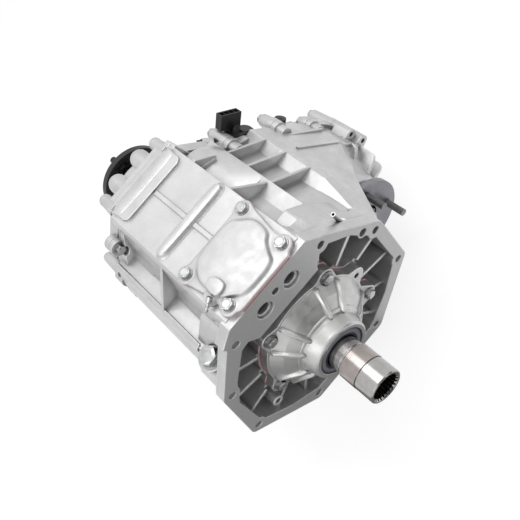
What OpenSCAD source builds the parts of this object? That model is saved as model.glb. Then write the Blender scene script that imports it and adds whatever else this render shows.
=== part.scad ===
// Transfer case with planetary low range, centre differential and chain drive to a front output.
// Millimetres. Origin: input axis at the transmission mounting face. -Y is forward, +Z is up.

/* [Chain drive] */
// Pitch of the drive chain
chain_pitch = 9.525; // [9.5:0.005:9.55]
// Number of links in the chain loop
chain_links = 80; // [78:2:82]
// Teeth on each sprocket
sprocket_teeth = 36; // [36:4:36]
// Angle of the front output below the input axis, in degrees
front_drop = 30.5; // [28:0.5:33]
// Width of the chain
chain_w = 24; // [20:1:26]

/* [Case] */
// Length of the front case from mounting face to rear joint
case_len = 257; // [254:1:262]
// Wall of the castings
wall = 9; // [7:0.5:10]
// Depth of the rear case behind the joint
rear_depth = 40; // [37:1:44]
// Height of the flat top above the input axis
top_z = 151; // [149:1:154]
// Half width of the top box
box_half = 60; // [58:1:62]
// Radius of the chain housing wall around the input axis
big_r = 119; // [117:1:121]
// Radius of the chain housing wall around the front output
small_r = 84; // [82:1:86]
// Thickness of the bolting lip at the rear joint
lip_t = 9; // [8:0.5:11]
// How far the bolting lip stands out from the wall
lip_out = 7; // [6:0.5:9]

/* [Mounting flange] */
// Thickness of the transmission flange
flange_t = 16; // [13:1:20]
// Radius of the lobe around each flange hole
lobe_r = 12.5; // [12:0.5:14]
// Radius of the flange bolt holes
flange_hole_r = 5.5; // [5:0.25:6]
// Wall of the bell around the ribbed recess
bell_wall = 7; // [6:0.5:9]
// Depth of the ribbed recess behind the flange
recess_d = 62; // [58:1:64]
// Number of radial ribs in the recess
recess_ribs = 16; // [12:1:18]

/* [Bearing retainer] */
// Front of the retainer nose ahead of the mounting face
nose_front = 45; // [43:0.5:47]
// Outside radius of the nose rim
nose_r = 41; // [40:0.5:42]
// Pitch radius of the retainer bolts
retainer_bolt_r = 84; // [83:0.5:86]
// Thickness of the retainer flange
retainer_t = 12; // [10:0.5:14]
// Setback of the retainer flange from the mounting face
retainer_back = 1; // [0.5:0.5:3]

/* [Shafts and seals] */
// Outside radius of the input sleeve
input_r = 24; // [23.5:0.25:24.25]
// Length of the input sleeve ahead of the mounting face
input_len = 117; // [112:1:122]
// Journal radius of the input shaft
journal_r = 22.5; // [22:0.25:22.75]
// Tip radius of the internal splines
spline_minor = 18.65; // [18:0.05:19]
// Number of splines in the input sleeve
spline_n = 24; // [20:1:28]
// Running clearance of every journal, on the radius
run_gap = 0.05; // [0.03:0.01:0.08]
// Outside radius of the lip seals
seal_r = 35; // [34:0.5:36]

/* [Planetary gears] */
// Tooth module
gear_m = 1.5; // [1.48:0.01:1.52]
// Sun teeth
sun_n = 53; // [53:1:53]
// Planet teeth
planet_n = 15; // [15:1:15]
// Face width of the gears
gear_w = 24; // [20:1:25]
// Tooth thinning on each side for backlash
backlash = 0.12; // [0.1:0.01:0.16]

/* [Companion flanges] */
// Radius of both companion flanges
companion_r = 59; // [57:0.5:61]
// Thickness of the companion flange discs
companion_t = 10; // [8:0.5:11]
// Pitch radius of the companion flange bolts
companion_bolt_r = 41.5; // [40:0.5:43]
// Radius of the companion flange studs
stud_r = 5.5; // [5:0.25:6]
// Front face of the front companion flange
front_disc_y = 115; // [113:0.5:117]
// Rear face of the rear companion flange
rear_disc_y = 431; // [428:1:438]
// Length of the studs ahead of the disc
stud_len = 34; // [28:1:36]
// Knurled shoulder of the studs inside the discs, on the radius
stud_shoulder = 0.4; // [0.3:0.05:0.5]

/* [Shift mechanism] */
// Spacing of the shift rails either side of centre
rail_x = 22.5; // [22:0.25:23]
// Height of the shift rails above the input axis
rail_z = 121.4; // [120:0.2:122]
// Radius of the shift rails
rail_r = 7; // [6.5:0.25:7.5]
// Travel of the range sleeve from high to low
range_travel = 15; // [14:0.5:16]
// Travel of the centre differential lock sleeve
lock_travel = 8; // [7:0.5:8]

/* [Fasteners] */
// Shank radius of the case bolts
bolt_r = 4; // [3.75:0.25:4.5]
// Across-corners radius of the case bolt heads
head_r = 7.4; // [7:0.1:7.8]
// Height of the case bolt heads
head_h = 6.5; // [6:0.25:7.5]

/* [Hidden] */
$fn = 64;
e = 0.02;
seal_bead = 0.6;
centre_distance = (chain_links - sprocket_teeth) / 2 * chain_pitch;
front_x = centre_distance * cos(front_drop);
front_z = -centre_distance * sin(front_drop);
front_axis = [front_x, front_z];
cast_colour = [0.78, 0.78, 0.80];
steel_colour = [0.62, 0.62, 0.64];
dark_steel = [0.30, 0.29, 0.28];
zinc_colour = [0.72, 0.74, 0.75];
black_colour = [0.06, 0.06, 0.065];
red_colour = [0.80, 0.05, 0.08];

// Angle of the chain housing's upper side, and points on its rim: s along the side, d off it
side_angle = acos((big_r - small_r) / centre_distance) - front_drop;
function upper_side(s, d) = polar(big_r + d, side_angle) + polar(s, side_angle - 90);
function lower_side(s, d) = polar(big_r + d, -side_angle - 2 * front_drop) + polar(s, 90 - side_angle - 2 * front_drop);
function small_rim(a) = front_axis + polar(small_r + 6, a);

// Places of the flange holes, as [x, z] seen from the front
flange_holes = [[72.8, 121.3], [136.3, 49.5], [141.6, -44.8], [62.4, -122.9],
    [-62.4, -122.9], [-141.6, -44.8], [-124.8, 55.2], [-72.8, 121.3]];
dowel_hole = [121.5, 68.6];
recess_corners = [[66, 112], [80, 112], [106, 88], [132, 42], [137, -36], [100, -80], [56, -116],
    [-56, -113], [-97, -84], [-134, -44], [-128, 30], [-108, 66], [-74, 104], [-62, 106], [-50, 92],
    [52, 92], [56, 106]];

// Retainer and drum
retainer_y = retainer_back + retainer_t;
drum_y = retainer_y + seal_bead;
drum_r = 92;
retainer_angles = [51, 124, 192, 242, 290, 332];
retainer_extra = [0, 0, 0, 0, 0, 8];
spare_lobe = 8;
retainer_places = [for (i = [0 : len(retainer_angles) - 1])
    polar(retainer_bolt_r + retainer_extra[i], retainer_angles[i])];

// Crests of the casting's right side and shelf of its left side, as [x, z]
crest_a = [104, 100];
valley_floor = [[139, 53], [108, 74]];
shelf_z = 83;
shelf_in = -84;
shelf_out = -109;
chain_front = case_len - 67;
floor_z = -122;

// Bolts of the rear joint: the first list has heads in front, the second behind
front_bolts = [[-87, 107], [-114, 53], [-121, -20]];
rear_bolts = [upper_side(47, 10.5), upper_side(133, 16.5), upper_side(203, 3), small_rim(12.6),
    small_rim(-29), small_rim(-73), lower_side(185, 6), lower_side(128, 6), lower_side(58, 6),
    polar(big_r + 6, -118)];
rear_boss_len = [36, 29, 16, 50, 30, 30, 30, 30, 30, 30];
dowel_places = [[-67, 112], upper_side(170, -3)];
dowel_r = 3;
blind_x = 50;
blind_z = 142;
connector_seat = 1.7;

// Gears
planet_c = gear_m * (sun_n + planet_n) / 2;
ring_n = sun_n + 2 * planet_n;
ring_r = 72;
gear_y = 16;
carrier_front = 6;
carrier_rear = 42;
carrier_end = 56;
carrier_r = planet_c + 10;
pin_r = 5;

// Shift rails
rail_front = 32;
rail_wall_y = 60;
rail_rear = case_len + 28;
dome_r = 14;
dome_len = 58;

// Range clutch
clutch_minor = 26.5;
clutch_major = 28.3;
clutch_n = 30;
cup_r = 30.5;
main_r = 19.8;
sleeve_front = 31;
sleeve_teeth = 10;
sleeve_len = 55;
collar_r = 36;
groove_y = 44;
groove_w = 7;
diff_r = 54;
neck_r = 27;
lock_w = 12;
chain_y = chain_front + 16;
lock_y = chain_y - 26;
diff_rear = lock_y - 6;
diff_front = diff_rear - 62;
bearing_w = 19;
rear_wall_y = case_len + rear_depth;
ext_end = rear_disc_y - 30;
neck_end = rear_wall_y + (ext_end - rear_wall_y) * 4 / 13;
ext_len = ext_end - neck_end;
rear_journal = 24;
front_bearing_y = 156;
front_housing_y = front_disc_y + 17;
front_seal_y = front_housing_y + 1;

// Solid between two places on Y, of a shape drawn as [x, z] and seen from the front
module slab(front, back) {
    translate([0, back, 0]) rotate([90, 0, 0]) linear_extrude(back - front) children();
}

// Cylinder along Y
module rod(r, front, back, at = [0, 0]) {
    translate([at[0], front, at[1]]) rotate([-90, 0, 0]) cylinder(r = r, h = back - front);
}

// Cone along Y
module cone(r1, r2, front, back, at = [0, 0]) {
    translate([at[0], front, at[1]]) rotate([-90, 0, 0]) cylinder(r1 = r1, r2 = r2, h = back - front);
}

// Body of revolution about a line along Y: points are [radius, y]
module turned(points, at = [0, 0]) {
    translate([at[0], 0, at[1]]) rotate([-90, 0, 0]) rotate_extrude() polygon(points);
}

function polar(r, a) = [r * cos(a), r * sin(a)];

// Straight-sided band between two circles, its corners a little inside them
module band(p, q, r1, r2, inside = e) {
    d = norm(q - p);
    a = atan2(q[1] - p[1], q[0] - p[0]);
    b = acos((r1 - r2) / d);
    polygon([p + polar(r1 - inside, a + b), q + polar(r2 - inside, a + b), q + polar(r2 - inside, a - b),
        p + polar(r1 - inside, a - b)]);
}

// Two circles joined by their outer tangents
module link(p, q, r1, r2) {
    band(p, q, r1, r2);
    translate(p) circle(r1);
    translate(q) circle(r2);
}

// Closed outline with a round lobe at each point
module lobed(points, r) {
    polygon(points);
    for (i = [0 : len(points) - 1]) {
        band(points[i], points[(i + 1) % len(points)], r, r);
        translate(points[i]) circle(r);
    }
}

// Rounded rectangle, centred
module round_rect(w, h, r) {
    square([w - 2 * r, h], center = true);
    square([w, h - 2 * r], center = true);
    for (x = [-1, 1], z = [-1, 1]) translate([x * (w / 2 - r), z * (h / 2 - r)]) circle(r);
}

// Outline of the chain housing
module belt(grow) {
    link([0, 0], front_axis, big_r + grow, small_r + grow);
}

// One profile for straight splines: n teeth between two radii, share of the pitch that is tooth
function spline_points(n, r_in, r_out, share) =
    [for (i = [0 : n - 1], k = [0 : 3])
        let (a = 360 / n * (i + [-share / 2, -share / 2.6, share / 2.6, share / 2][k]))
        polar(k == 0 || k == 3 ? r_in : r_out, a)];

// Involute gear outline. thin is taken off each flank at the pitch circle
function inv(a) = tan(a) - a * PI / 180;
function flank_angle(rb, r) = r <= rb ? 0 : inv(acos(rb / r)) * 180 / PI;
function gear_points(m, n, add, ded, thin) =
    let (rp = m * n / 2, rb = rp * cos(20), ra = rp + add, rr = rp - ded,
        half = 90 / n - thin / rp * 180 / PI + inv(20) * 180 / PI,
        rs = [rr, max(rb, rr + 0.2), (max(rb, rr) + ra) / 2, ra])
    [for (i = [0 : n - 1], s = [-1, 1], k = [0 : 3])
        let (r = s < 0 ? rs[k] : rs[3 - k])
        polar(r, 360 / n * i + s * (half - flank_angle(rb, r)))];

// Hexagon head bolt along Y: the head's underside is at seat, the shank runs the way dir points
module hex_bolt(at, seat, shank, dir = 1, r = bolt_r, hr = head_r, h = head_h) {
    translate([at[0], seat, at[1]]) rotate([-90 * dir, 0, 0]) {
        translate([0, 0, -h]) cylinder(r = hr, h = h - 1.5, $fn = 6);
        translate([0, 0, -1.5]) cylinder(r = hr * 1.15, h = 1.5);
        translate([0, 0, -h - 0.8]) cylinder(r1 = hr * 0.6, r2 = hr * 0.8, h = 0.8);
        cylinder(r = r, h = shank);
    }
}

// Deep-groove ball bearing about a line along Y
module ball_bearing(r_in, r_out, front, w, at = [0, 0], balls = 9) {
    ball = (r_out - r_in) * 0.27;
    mid = (r_in + r_out) / 2;
    race = (r_out - r_in) * 0.26;
    groove = ball + 0.1;
    difference() {
        union() {
            turned([[r_out - race, front], [r_out, front], [r_out, front + w], [r_out - race, front + w]], at);
            turned([[r_in, front], [r_in + race, front], [r_in + race, front + w], [r_in, front + w]], at);
        }
        translate([at[0], front + w / 2, at[1]]) rotate([-90, 0, 0])
            rotate_extrude() translate([mid, 0]) circle(groove, $fn = 32);
    }
    for (i = [0 : balls - 1]) {
        p = at + polar(mid, 360 / balls * i);
        translate([p[0], front + w / 2, p[1]]) sphere(ball, $fn = 24);
    }
}

// Lip seal: steel case with a rubber lip that stops short of the shaft
module lip_seal(shaft, r_out, front, w, at = [0, 0]) {
    turned([[shaft + 0.3, front + 2], [shaft + 1.6, front], [r_out - 3, front], [r_out - 3, front + 1.5],
        [r_out - 2, front + 1.5], [r_out - 2, front], [r_out, front], [r_out, front + w],
        [r_out - 2.5, front + w], [r_out - 2.5, front + 4], [shaft + 3, front + 4],
        [shaft + 1.2, front + w * 0.7], [shaft + 0.3, front + w * 0.6]], at);
}

// Cross-section of the main case body, as [x, z]
body_outline = concat([[-box_half, top_z], [-64, top_z - 5], [-76, 93], [shelf_in, shelf_z],
    [shelf_out, shelf_z + 1], [-122, 58], [-131, 8], [-132, -42], [-96, -92], [-56, floor_z], [56, floor_z],
    [98, -86], [134, -48], [146, 4]], valley_floor, [crest_a, [crest_a[0] - 22, crest_a[1] - 2],
    [66, crest_a[1] + 5], [box_half, top_z - 5], [box_half, top_z]]);

// Corners of the gear chamber before the wall is taken off
chamber_corners = [[-box_half, top_z], [-76, 92], [-112, 84], [-131, 8], [-132, -42], [-56, floor_z], [56, floor_z],
    [134, -48], [146, 4], [crest_a[0] - 4, crest_a[1] - 2], [72, crest_a[1] - 2], [box_half, top_z]];

// Closed outline moved inwards by d, for corners listed against the clock
function inset(points, d) =
    let (n = len(points))
    [for (i = [0 : n - 1])
        let (p = points[(i + n - 1) % n], q = points[i], r = points[(i + 1) % n],
            u = (q - p) / norm(q - p), v = (r - q) / norm(r - q), a = [-u[1], u[0]], b = [-v[1], v[0]])
        q + (a + b) * d / (1 + a * b)];

// Transverse fin on the right side between two [x, z] points, standing on the surface below
module fin(y, t, points) {
    slab(y - t / 2, y + t / 2) polygon(points);
}

// Bolting lip between two places on Y
module case_lip(front, back) {
    slab(front, back) belt(lip_out);
    for (p = concat(front_bolts, rear_bolts)) rod(12, front, back, p);
    slab(front, back) polygon([[63, top_z + 0.5], [-56, top_z + 0.5], [-69, 122], [-79, 110], [-122, 45], [-130, 18], [-122, 0],
        [120, -60], [front_x + 61, -60], [front_x + 61, front_z + 60], [203, 4], [179, 28], [163, 37],
        [143, 58], [127, 66], [105, 84], [82, 102], [71, 118]]);
}

module front_case() {
    color(cast_colour) difference() {
        union() {
            front_case_outer();
            rear_lip();
            front_case_ribs();
            front_output_housing();
            drum();
            plug_boss();
        }
        front_case_inner();
        flange_drilling();
        rear_joint_drilling();
        // Room for the front companion flange
        rod(companion_r + 6, front_disc_y - 40, front_disc_y + companion_t + 4, front_axis);
        // Cover opening and its bolt holes
        translate([-34, rail_wall_y + 6, top_z - 30]) cube([68, 80 - rail_wall_y, 40]);
        for (p = cover_bolt_places) translate([p[0], p[1], top_z - 22]) cylinder(r = bolt_r + e, h = 40);
        // Threads of the plugs
        plug_place() {
            translate([0, 0, -14]) cylinder(r = 9, h = 40);
            translate([0, 0, 2]) cylinder(r = 14.9, h = 30);
        }
        drain_place() translate([0, 0, -20]) cylinder(r = 9, h = 40);
        // Breather tube
        breather_place() {
            translate([0, 0, -16]) cylinder(r = 3, h = 40);
            translate([0, 0, 1]) cylinder(r = 4, h = 20);
        }
        // Spot faces of the bolts with heads in front
        for (p = front_bolts) rod(9.5, case_len - lip_t - 20, case_len - lip_t, p);
    }
}

module front_case_outer() {
    // Flange with its lobes, and the bell behind it
    slab(0, flange_t) flange_outline();
    slab(0, recess_d + wall) lobed(recess_corners, bell_wall);
    // Main body
    slab(flange_t - 6, case_len - 4) polygon(body_outline);
    // Top step ahead of the rear joint
    translate([0, case_len - 18, top_z]) linear_extrude(3.5) round_rect(106, 34, 9);
    // Shoulder that carries the top face forward to the flange
    slab(0, flange_t) polygon([[-64, top_z - 1], [-78, 128], [-60, 100], [60, 100], [78, 126], [62, top_z - 1]]);
    // Wing from the second crest out to the chain housing, in two stretches
    wing_mid = (flange_t + chain_front) / 2;
    wing(flange_t, wing_front_points, wing_mid, wing_mid_points);
    wing(wing_mid, wing_mid_points, chain_front, wing_rear_points);
    // Chain housing
    slab(chain_front, case_len) belt(0);
    slab(chain_front, case_len) polygon(concat([[60, 0], [66, crest_a[1] + 5], crest_a], [valley_floor[1],
        valley_floor[0]], [[156, 57], [175, 36], [236, -32], [200, -60]]));
}

// Second crest and wing at three places along the case, as [x, z]
wing_front_points = [[137, 44], [144, 34], [152, 24], [146, 0], [124, -4], [118, 40]];
wing_mid_points = [[136, 54], [155, 57], [165, 46], [192, -4], [188, -28], [124, -20], [118, 40]];
wing_rear_points = [[136, 56], [156, 57], [175, 36], [236, -32], [240, -52], [206, -44], [124, 0]];
module wing(front, front_points, back, back_points) {
    hull() {
        slab(front, front + 2) polygon(front_points);
        slab(back, back + 2) polygon(back_points);
    }
}

module flange_outline() {
    lobed(flange_holes, lobe_r);
    translate(dowel_hole) circle(9);
    polygon([[-64, top_z - 1], [-86, 133], [-70, 90], [70, 90], [84, 126], [62, top_z - 1]]);
}

module rear_lip() {
    case_lip(case_len - lip_t, case_len);
}

module front_case_ribs() {
    rib = 4;
    // Right side fins between the box and the first crest, and between the crests
    fin(135, rib, [[58, top_z - 2], [100, crest_a[1] + 1], [98, 80], [58, 90]]);
    fin(case_len - 52, rib, [[58, 138], [84, 128], [76, 96], [58, 90]]);
    for (y = [chain_front - 58, chain_front - 10, case_len - 35])
        fin(y, rib, [crest_a - [0, 2], [157, 58], [138, 46], [crest_a[0] - 4, 60]]);
    // Right side fins beyond the second crest
    fin(case_len - 71, 5, [[176, 38], [234, -27], [226, -40], [170, 10]]);
    fin(case_len - 29, 5, [[180, 30], [238, -29], [226, -40], [170, 10]]);
    // Left side gussets and shelf edge
    fin(140, 5, [[-62, top_z - 6], [-107, shelf_z + 4], [-86, 70], [-60, 70]]);
    fin(case_len - 17, 6, [[-60, 140], [-98, shelf_z + 3], [-86, 70], [-60, 70]]);
    slab(62, case_len - 4) polygon([[shelf_out - 3, shelf_z + 1], [shelf_out + 4, shelf_z + 4], [shelf_out + 8, 60], [-122, 50]]);
    // Bottom ribs
    for (y = [60, 110, 160]) fin(y, 6, [[-110, -60], [-56, floor_z - 7], [56, floor_z - 7], [110, -60]]);
    // Top rib and parting ridge
    translate([0, 144.5, top_z - 1]) linear_extrude(7) round_rect(106, 8, 3.9);
    translate([-3, 98, top_z - 1]) cube([6, case_len - 136, 3]);
    // Bosses behind which the rear bolts end, and two lugs at the small end
    for (p = rear_bolts) rod(9.5, case_len - 24, case_len - 1, p);
    link_lug(26, case_len - 51, case_len - 21);
    link_lug(13, case_len - 61, case_len - 39);
    // Cover seat
    translate([0, 49, top_z - 2]) linear_extrude(3) cover_outline();
}

// Lug on the small end's rim at angle a
module link_lug(a, front, back) {
    difference() {
        slab(front, back) translate(front_axis) link(polar(small_r - 10, a), polar(small_r + 9, a), 12, 9);
        rod(4, front - 1, front + 14, front_axis + polar(small_r + 9, a));
    }
}

// Housing around the front output shaft, with its radial stiffening ribs
module front_output_housing() {
    turned([[0, front_housing_y], [48, front_housing_y], [52, front_housing_y + 4], [54, front_housing_y + 22],
        [66, chain_front - 12], [small_r - 4, chain_front + 2], [0, chain_front + 2]], front_axis);
    // Radial ribs, as [angle, front of the outer corner]
    for (b = [[32, 178], [15, 158], [-9, 158], [-40, 160], [-75, 160], [-110, 160], [-150, 165]])
        translate([front_x, 0, front_z]) rotate([0, -b[0], 0]) translate([0, 0, -3]) linear_extrude(6)
            polygon([[40, b[1] - 6], [62, b[1] - 4], [small_r - 8, b[1]], [small_r - 2, b[1] + 3],
                [small_r, b[1] + 9], [small_r + 2, chain_front + 24], [40, chain_front + 24]]);
}

// Drum that carries the ring gear and the bearing retainer
module drum() {
    slab(drum_y, recess_d + 2) {
        circle(drum_r - 8);
        retainer_lobes(13);
    }
    for (i = [0 : recess_ribs - 1]) {
        a = 360 / recess_ribs * i + 11;
        intersection() {
            rotate([0, -a, 0]) translate([80, 12, -2]) cube([100, recess_d, 4]);
            slab(8, recess_d + 8) polygon(recess_corners);
        }
    }
}

module retainer_lobes(r) {
    for (p = concat(retainer_places, [polar(retainer_bolt_r, spare_lobe)])) {
        band([0, 0], p, 62, r, 0.5);
        translate(p) circle(r);
    }
}

// Places of plugs, breather and connector on the castings
module plug_place() {
    translate([-106, 38, shelf_z + 1]) rotate([0, -5, 0]) children();
}

module drain_place() {
    translate([-20, 90, floor_z]) rotate([180, 0, 0]) children();
}

module breather_place() {
    translate([113, 20, 86]) rotate([2, -5, 0]) children();
}

// Place on the rear case's upper side: s is the distance along it, up the distance off it
module side_place(s, up, y) {
    rotate([0, 90 - side_angle, 0]) translate([s, y, big_r + up]) children();
}

module connector_place() {
    side_place(65, 12, case_len + 22) children();
}

module switch_place() {
    side_place(160, 5, case_len + 21) children();
}

// The second switch lies along the side and points up it
module second_switch_place() {
    side_place(19, 7.3, case_len + 24) rotate([0, 0, -25]) rotate([0, -90, 0]) children();
}

module plug_boss() {
    plug_place() translate([0, 0, -22]) cylinder(r = 18, h = 24);
    drain_place() translate([0, 0, -12]) cylinder(r = 16, h = 18);
    breather_place() translate([0, 0, -12]) cylinder(r = 7, h = 13);
}

module front_case_inner() {
    // Ribbed recess behind the mounting flange
    difference() {
        slab(-1, recess_d) polygon(recess_corners);
        slab(-2, recess_d + 1) {
            circle(drum_r - 8);
            retainer_lobes(13);
            for (p = flange_holes) translate(p) circle(lobe_r - 0.5);
            translate(dowel_hole) circle(8);
        }
        slab(10, recess_d + 1) for (i = [0 : recess_ribs - 1]) rotate(360 / recess_ribs * i + 11)
            translate([70, -2]) square([100, 4]);
    }
    // The retainer's own room ahead of the drum
    slab(-1, drum_y) {
        circle(drum_r - 4);
        retainer_lobes(17);
    }
    // Ring gear bore and gear chamber
    rod(ring_r, 0, 44);
    rod(ring_r - 4, 40, recess_d + 10);
    slab(recess_d + wall, chain_front + wall) polygon(inset(chamber_corners, wall));
    // Chain chamber
    slab(chain_front + wall - 1, case_len + 1) belt(-wall);
    slab(chain_front + wall - 1, case_len + 1) shift_room();
    // Shift rail room in the top, its rail bores in the front wall and the blind holes ahead of them
    slab(rail_wall_y, chain_front + wall) translate([-40, 100]) square([80, top_z - wall - 100]);
    for (s = [-1, 1]) {
        rod(rail_r + run_gap, rail_front - 6, rail_wall_y + 1, [s * rail_x, rail_z]);
        rod(12, -1, 10, [s * rail_x, rail_z]);
    }
    slab(-1, 6) translate([0.6, 131]) circle(5);
    // Front output bearing and seal
    rod(35, front_housing_y - 1, front_housing_y + 14, front_axis);
    rod(30, front_housing_y + 10, chain_front, front_axis);
    rod(40, front_bearing_y, chain_front + 20, front_axis);
}

module flange_drilling() {
    for (p = flange_holes) rod(flange_hole_r, -1, flange_t + 30, p);
    rod(6, -1, 12, dowel_hole);
    for (p = retainer_places) rod(bolt_r + e, drum_y - 1, drum_y + 24, p);
}

module rear_joint_drilling() {
    for (p = front_bolts) rod(bolt_r + e, case_len - 30, case_len + 1, p);
    for (p = rear_bolts) rod(bolt_r + e, case_len - 20, case_len + 1, p);
    for (p = dowel_places) rod(dowel_r + e, case_len - 8, case_len + 1, p);
}

// Room above the chain for the shift rails and forks
module shift_room() {
    polygon([[-box_half + wall, top_z - wall], [-box_half + wall, 60], [box_half - wall, 60],
        [box_half - wall, top_z - wall]]);
}

cover_bolt_places = [[48.5, 89], [-49.5, 89], [43.5, 16], [-44, 16]];
module cover_outline() {
    polygon([[-52, -40], [-38, -49], [38, -49], [50, -40], [50, -10], [57, 30], [50, 47], [-50, 47], [-57, 30],
        [-50, -10]]);
    for (p = cover_bolt_places) translate([p[0], p[1] - 49]) circle(12);
}

// Raised panel of the cover, waisted beside its bolts
panel_rise = 10;
panel_points = [[-22, 8], [20, 8], [25, 20], [34, 34], [42, 38], [45, 55], [43, 67], [34, 77], [28, 89],
    [-24, 89], [-33, 81], [-42, 70], [-44, 57], [-43, 30], [-31, 20]];

// Node: cover over the shift mechanism, with a raised lobed panel and a breather finger
module top_cover() {
    color(cast_colour) difference() {
        union() {
            translate([0, 49, top_z + 1 + seal_bead]) linear_extrude(5.5) cover_outline();
            translate([0, 0, top_z + 1 + seal_bead]) linear_extrude(panel_rise) polygon(panel_points);
            // Finger that carries the nozzle
            finger_place() {
                hull() {
                    sphere(9.5, $fn = 32);
                    translate([16, 0, -2]) sphere(8, $fn = 32);
                }
                translate([0, 0, -8]) cylinder(r = 9.5, h = 8);
                translate([10, -7, -9]) cube([12, 14, 8]);
            }
        }
        nozzle_place() {
            translate([0, 0, -6]) cylinder(r = 2.4, h = 12);
            translate([0, 0, 4]) cylinder(r = 9, h = 12);
        }
        for (p = cover_bolt_places) translate([p[0], p[1], top_z]) cylinder(r = bolt_r + e, h = 20);
        translate([-31, 18, top_z - 1]) cube([62, 58, 7]);
        translate([-100, -10, top_z - 20]) cube([200, 200, 21 + seal_bead]);
    }
}

// Start of the cover's finger, X pointing along it
module finger_place() {
    translate([-34, 42, top_z + panel_rise + 2]) rotate([0, 0, 188]) children();
}

// Seat of the nozzle in the finger's end, Z pointing along the nozzle
module nozzle_place() {
    finger_place() translate([20, 0, -3]) rotate([0, 122, 0]) children();
}

// Node: sealant squeezed out under the cover
module cover_sealant() {
    color(red_colour) translate([0, 49, top_z + 1]) linear_extrude(seal_bead) difference() {
        union() {
            cover_outline();
            translate([-38, -49.4]) square([76, 6]);
        }
        translate([-35, -33]) square([70, 66]);
        for (p = cover_bolt_places) translate([p[0], p[1] - 49]) circle(bolt_r + 1);
    }
}

// Node: bolts of the top cover
module cover_bolts() {
    color(zinc_colour) for (p = cover_bolt_places) translate([p[0], p[1], top_z + 7 - 0.5 + seal_bead])
        rotate([-90, 0, 0]) hex_bolt([0, 0], 0, 24, 1, bolt_r, 7.4, 6.5);
}

// Node: retainer with the input bearing and seal, bolted to the drum
module bearing_retainer() {
    color(cast_colour) difference() {
        union() {
            slab(retainer_back - 0.5, retainer_y) {
                circle(drum_r - 11);
                retainer_lobes(12);
            }
            turned([[0, 4 - nose_front], [0, 6], [78, 6], [78, 0], [66, -12], [54, -20], [48, -24],
                [nose_r + 4.5, -28], [nose_r + 0.5, 2 - nose_front], [nose_r - 1, -nose_front], [0, -nose_front]]);
            // Webs beside the bolts
            for (a = retainer_angles, s = [-1, 1]) rotate([0, -(a + s * 13), 0]) translate([0, 0, -1.6])
                linear_extrude(3.2) polygon([[48, -26], [53, -25], [77, -5], [77, 3], [62, 3]]);
            // Blind oil boss
            translate([30, 8, -62]) rotate([90, 0, 0]) cylinder(r1 = 9, r2 = 8, h = 32);
        }
        for (p = retainer_places) {
            rod(bolt_r + e, -20, retainer_y + 1, p);
            rod(9.4, -60, retainer_back, p);
        }
        rod(4, -1, retainer_y + 1, polar(retainer_bolt_r, spare_lobe));
        rod(seal_r, -nose_front - 1, 11 - nose_front);
        rod(30, -nose_front, 0);
        rod(42.5, -30, 0);
        turned([[0, -12], [50, -12], [64, -3], [68, 4], [68, retainer_y + 1], [0, retainer_y + 1]]);
    }
}

// Node: sealant between retainer and drum
module retainer_sealant() {
    color(red_colour) slab(retainer_y, drum_y) difference() {
        union() {
            circle(drum_r - 10.6);
            for (p = retainer_places) translate(p) circle(12.4);
        }
        circle(74);
        for (p = retainer_places) translate(p) circle(bolt_r + 1);
        translate(polar(retainer_bolt_r, spare_lobe)) circle(bolt_r + 1);
    }
}

// Node: bolts of the bearing retainer
module retainer_bolts() {
    color(zinc_colour) for (p = retainer_places) hex_bolt(p, retainer_back, retainer_t + 18);
}

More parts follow.
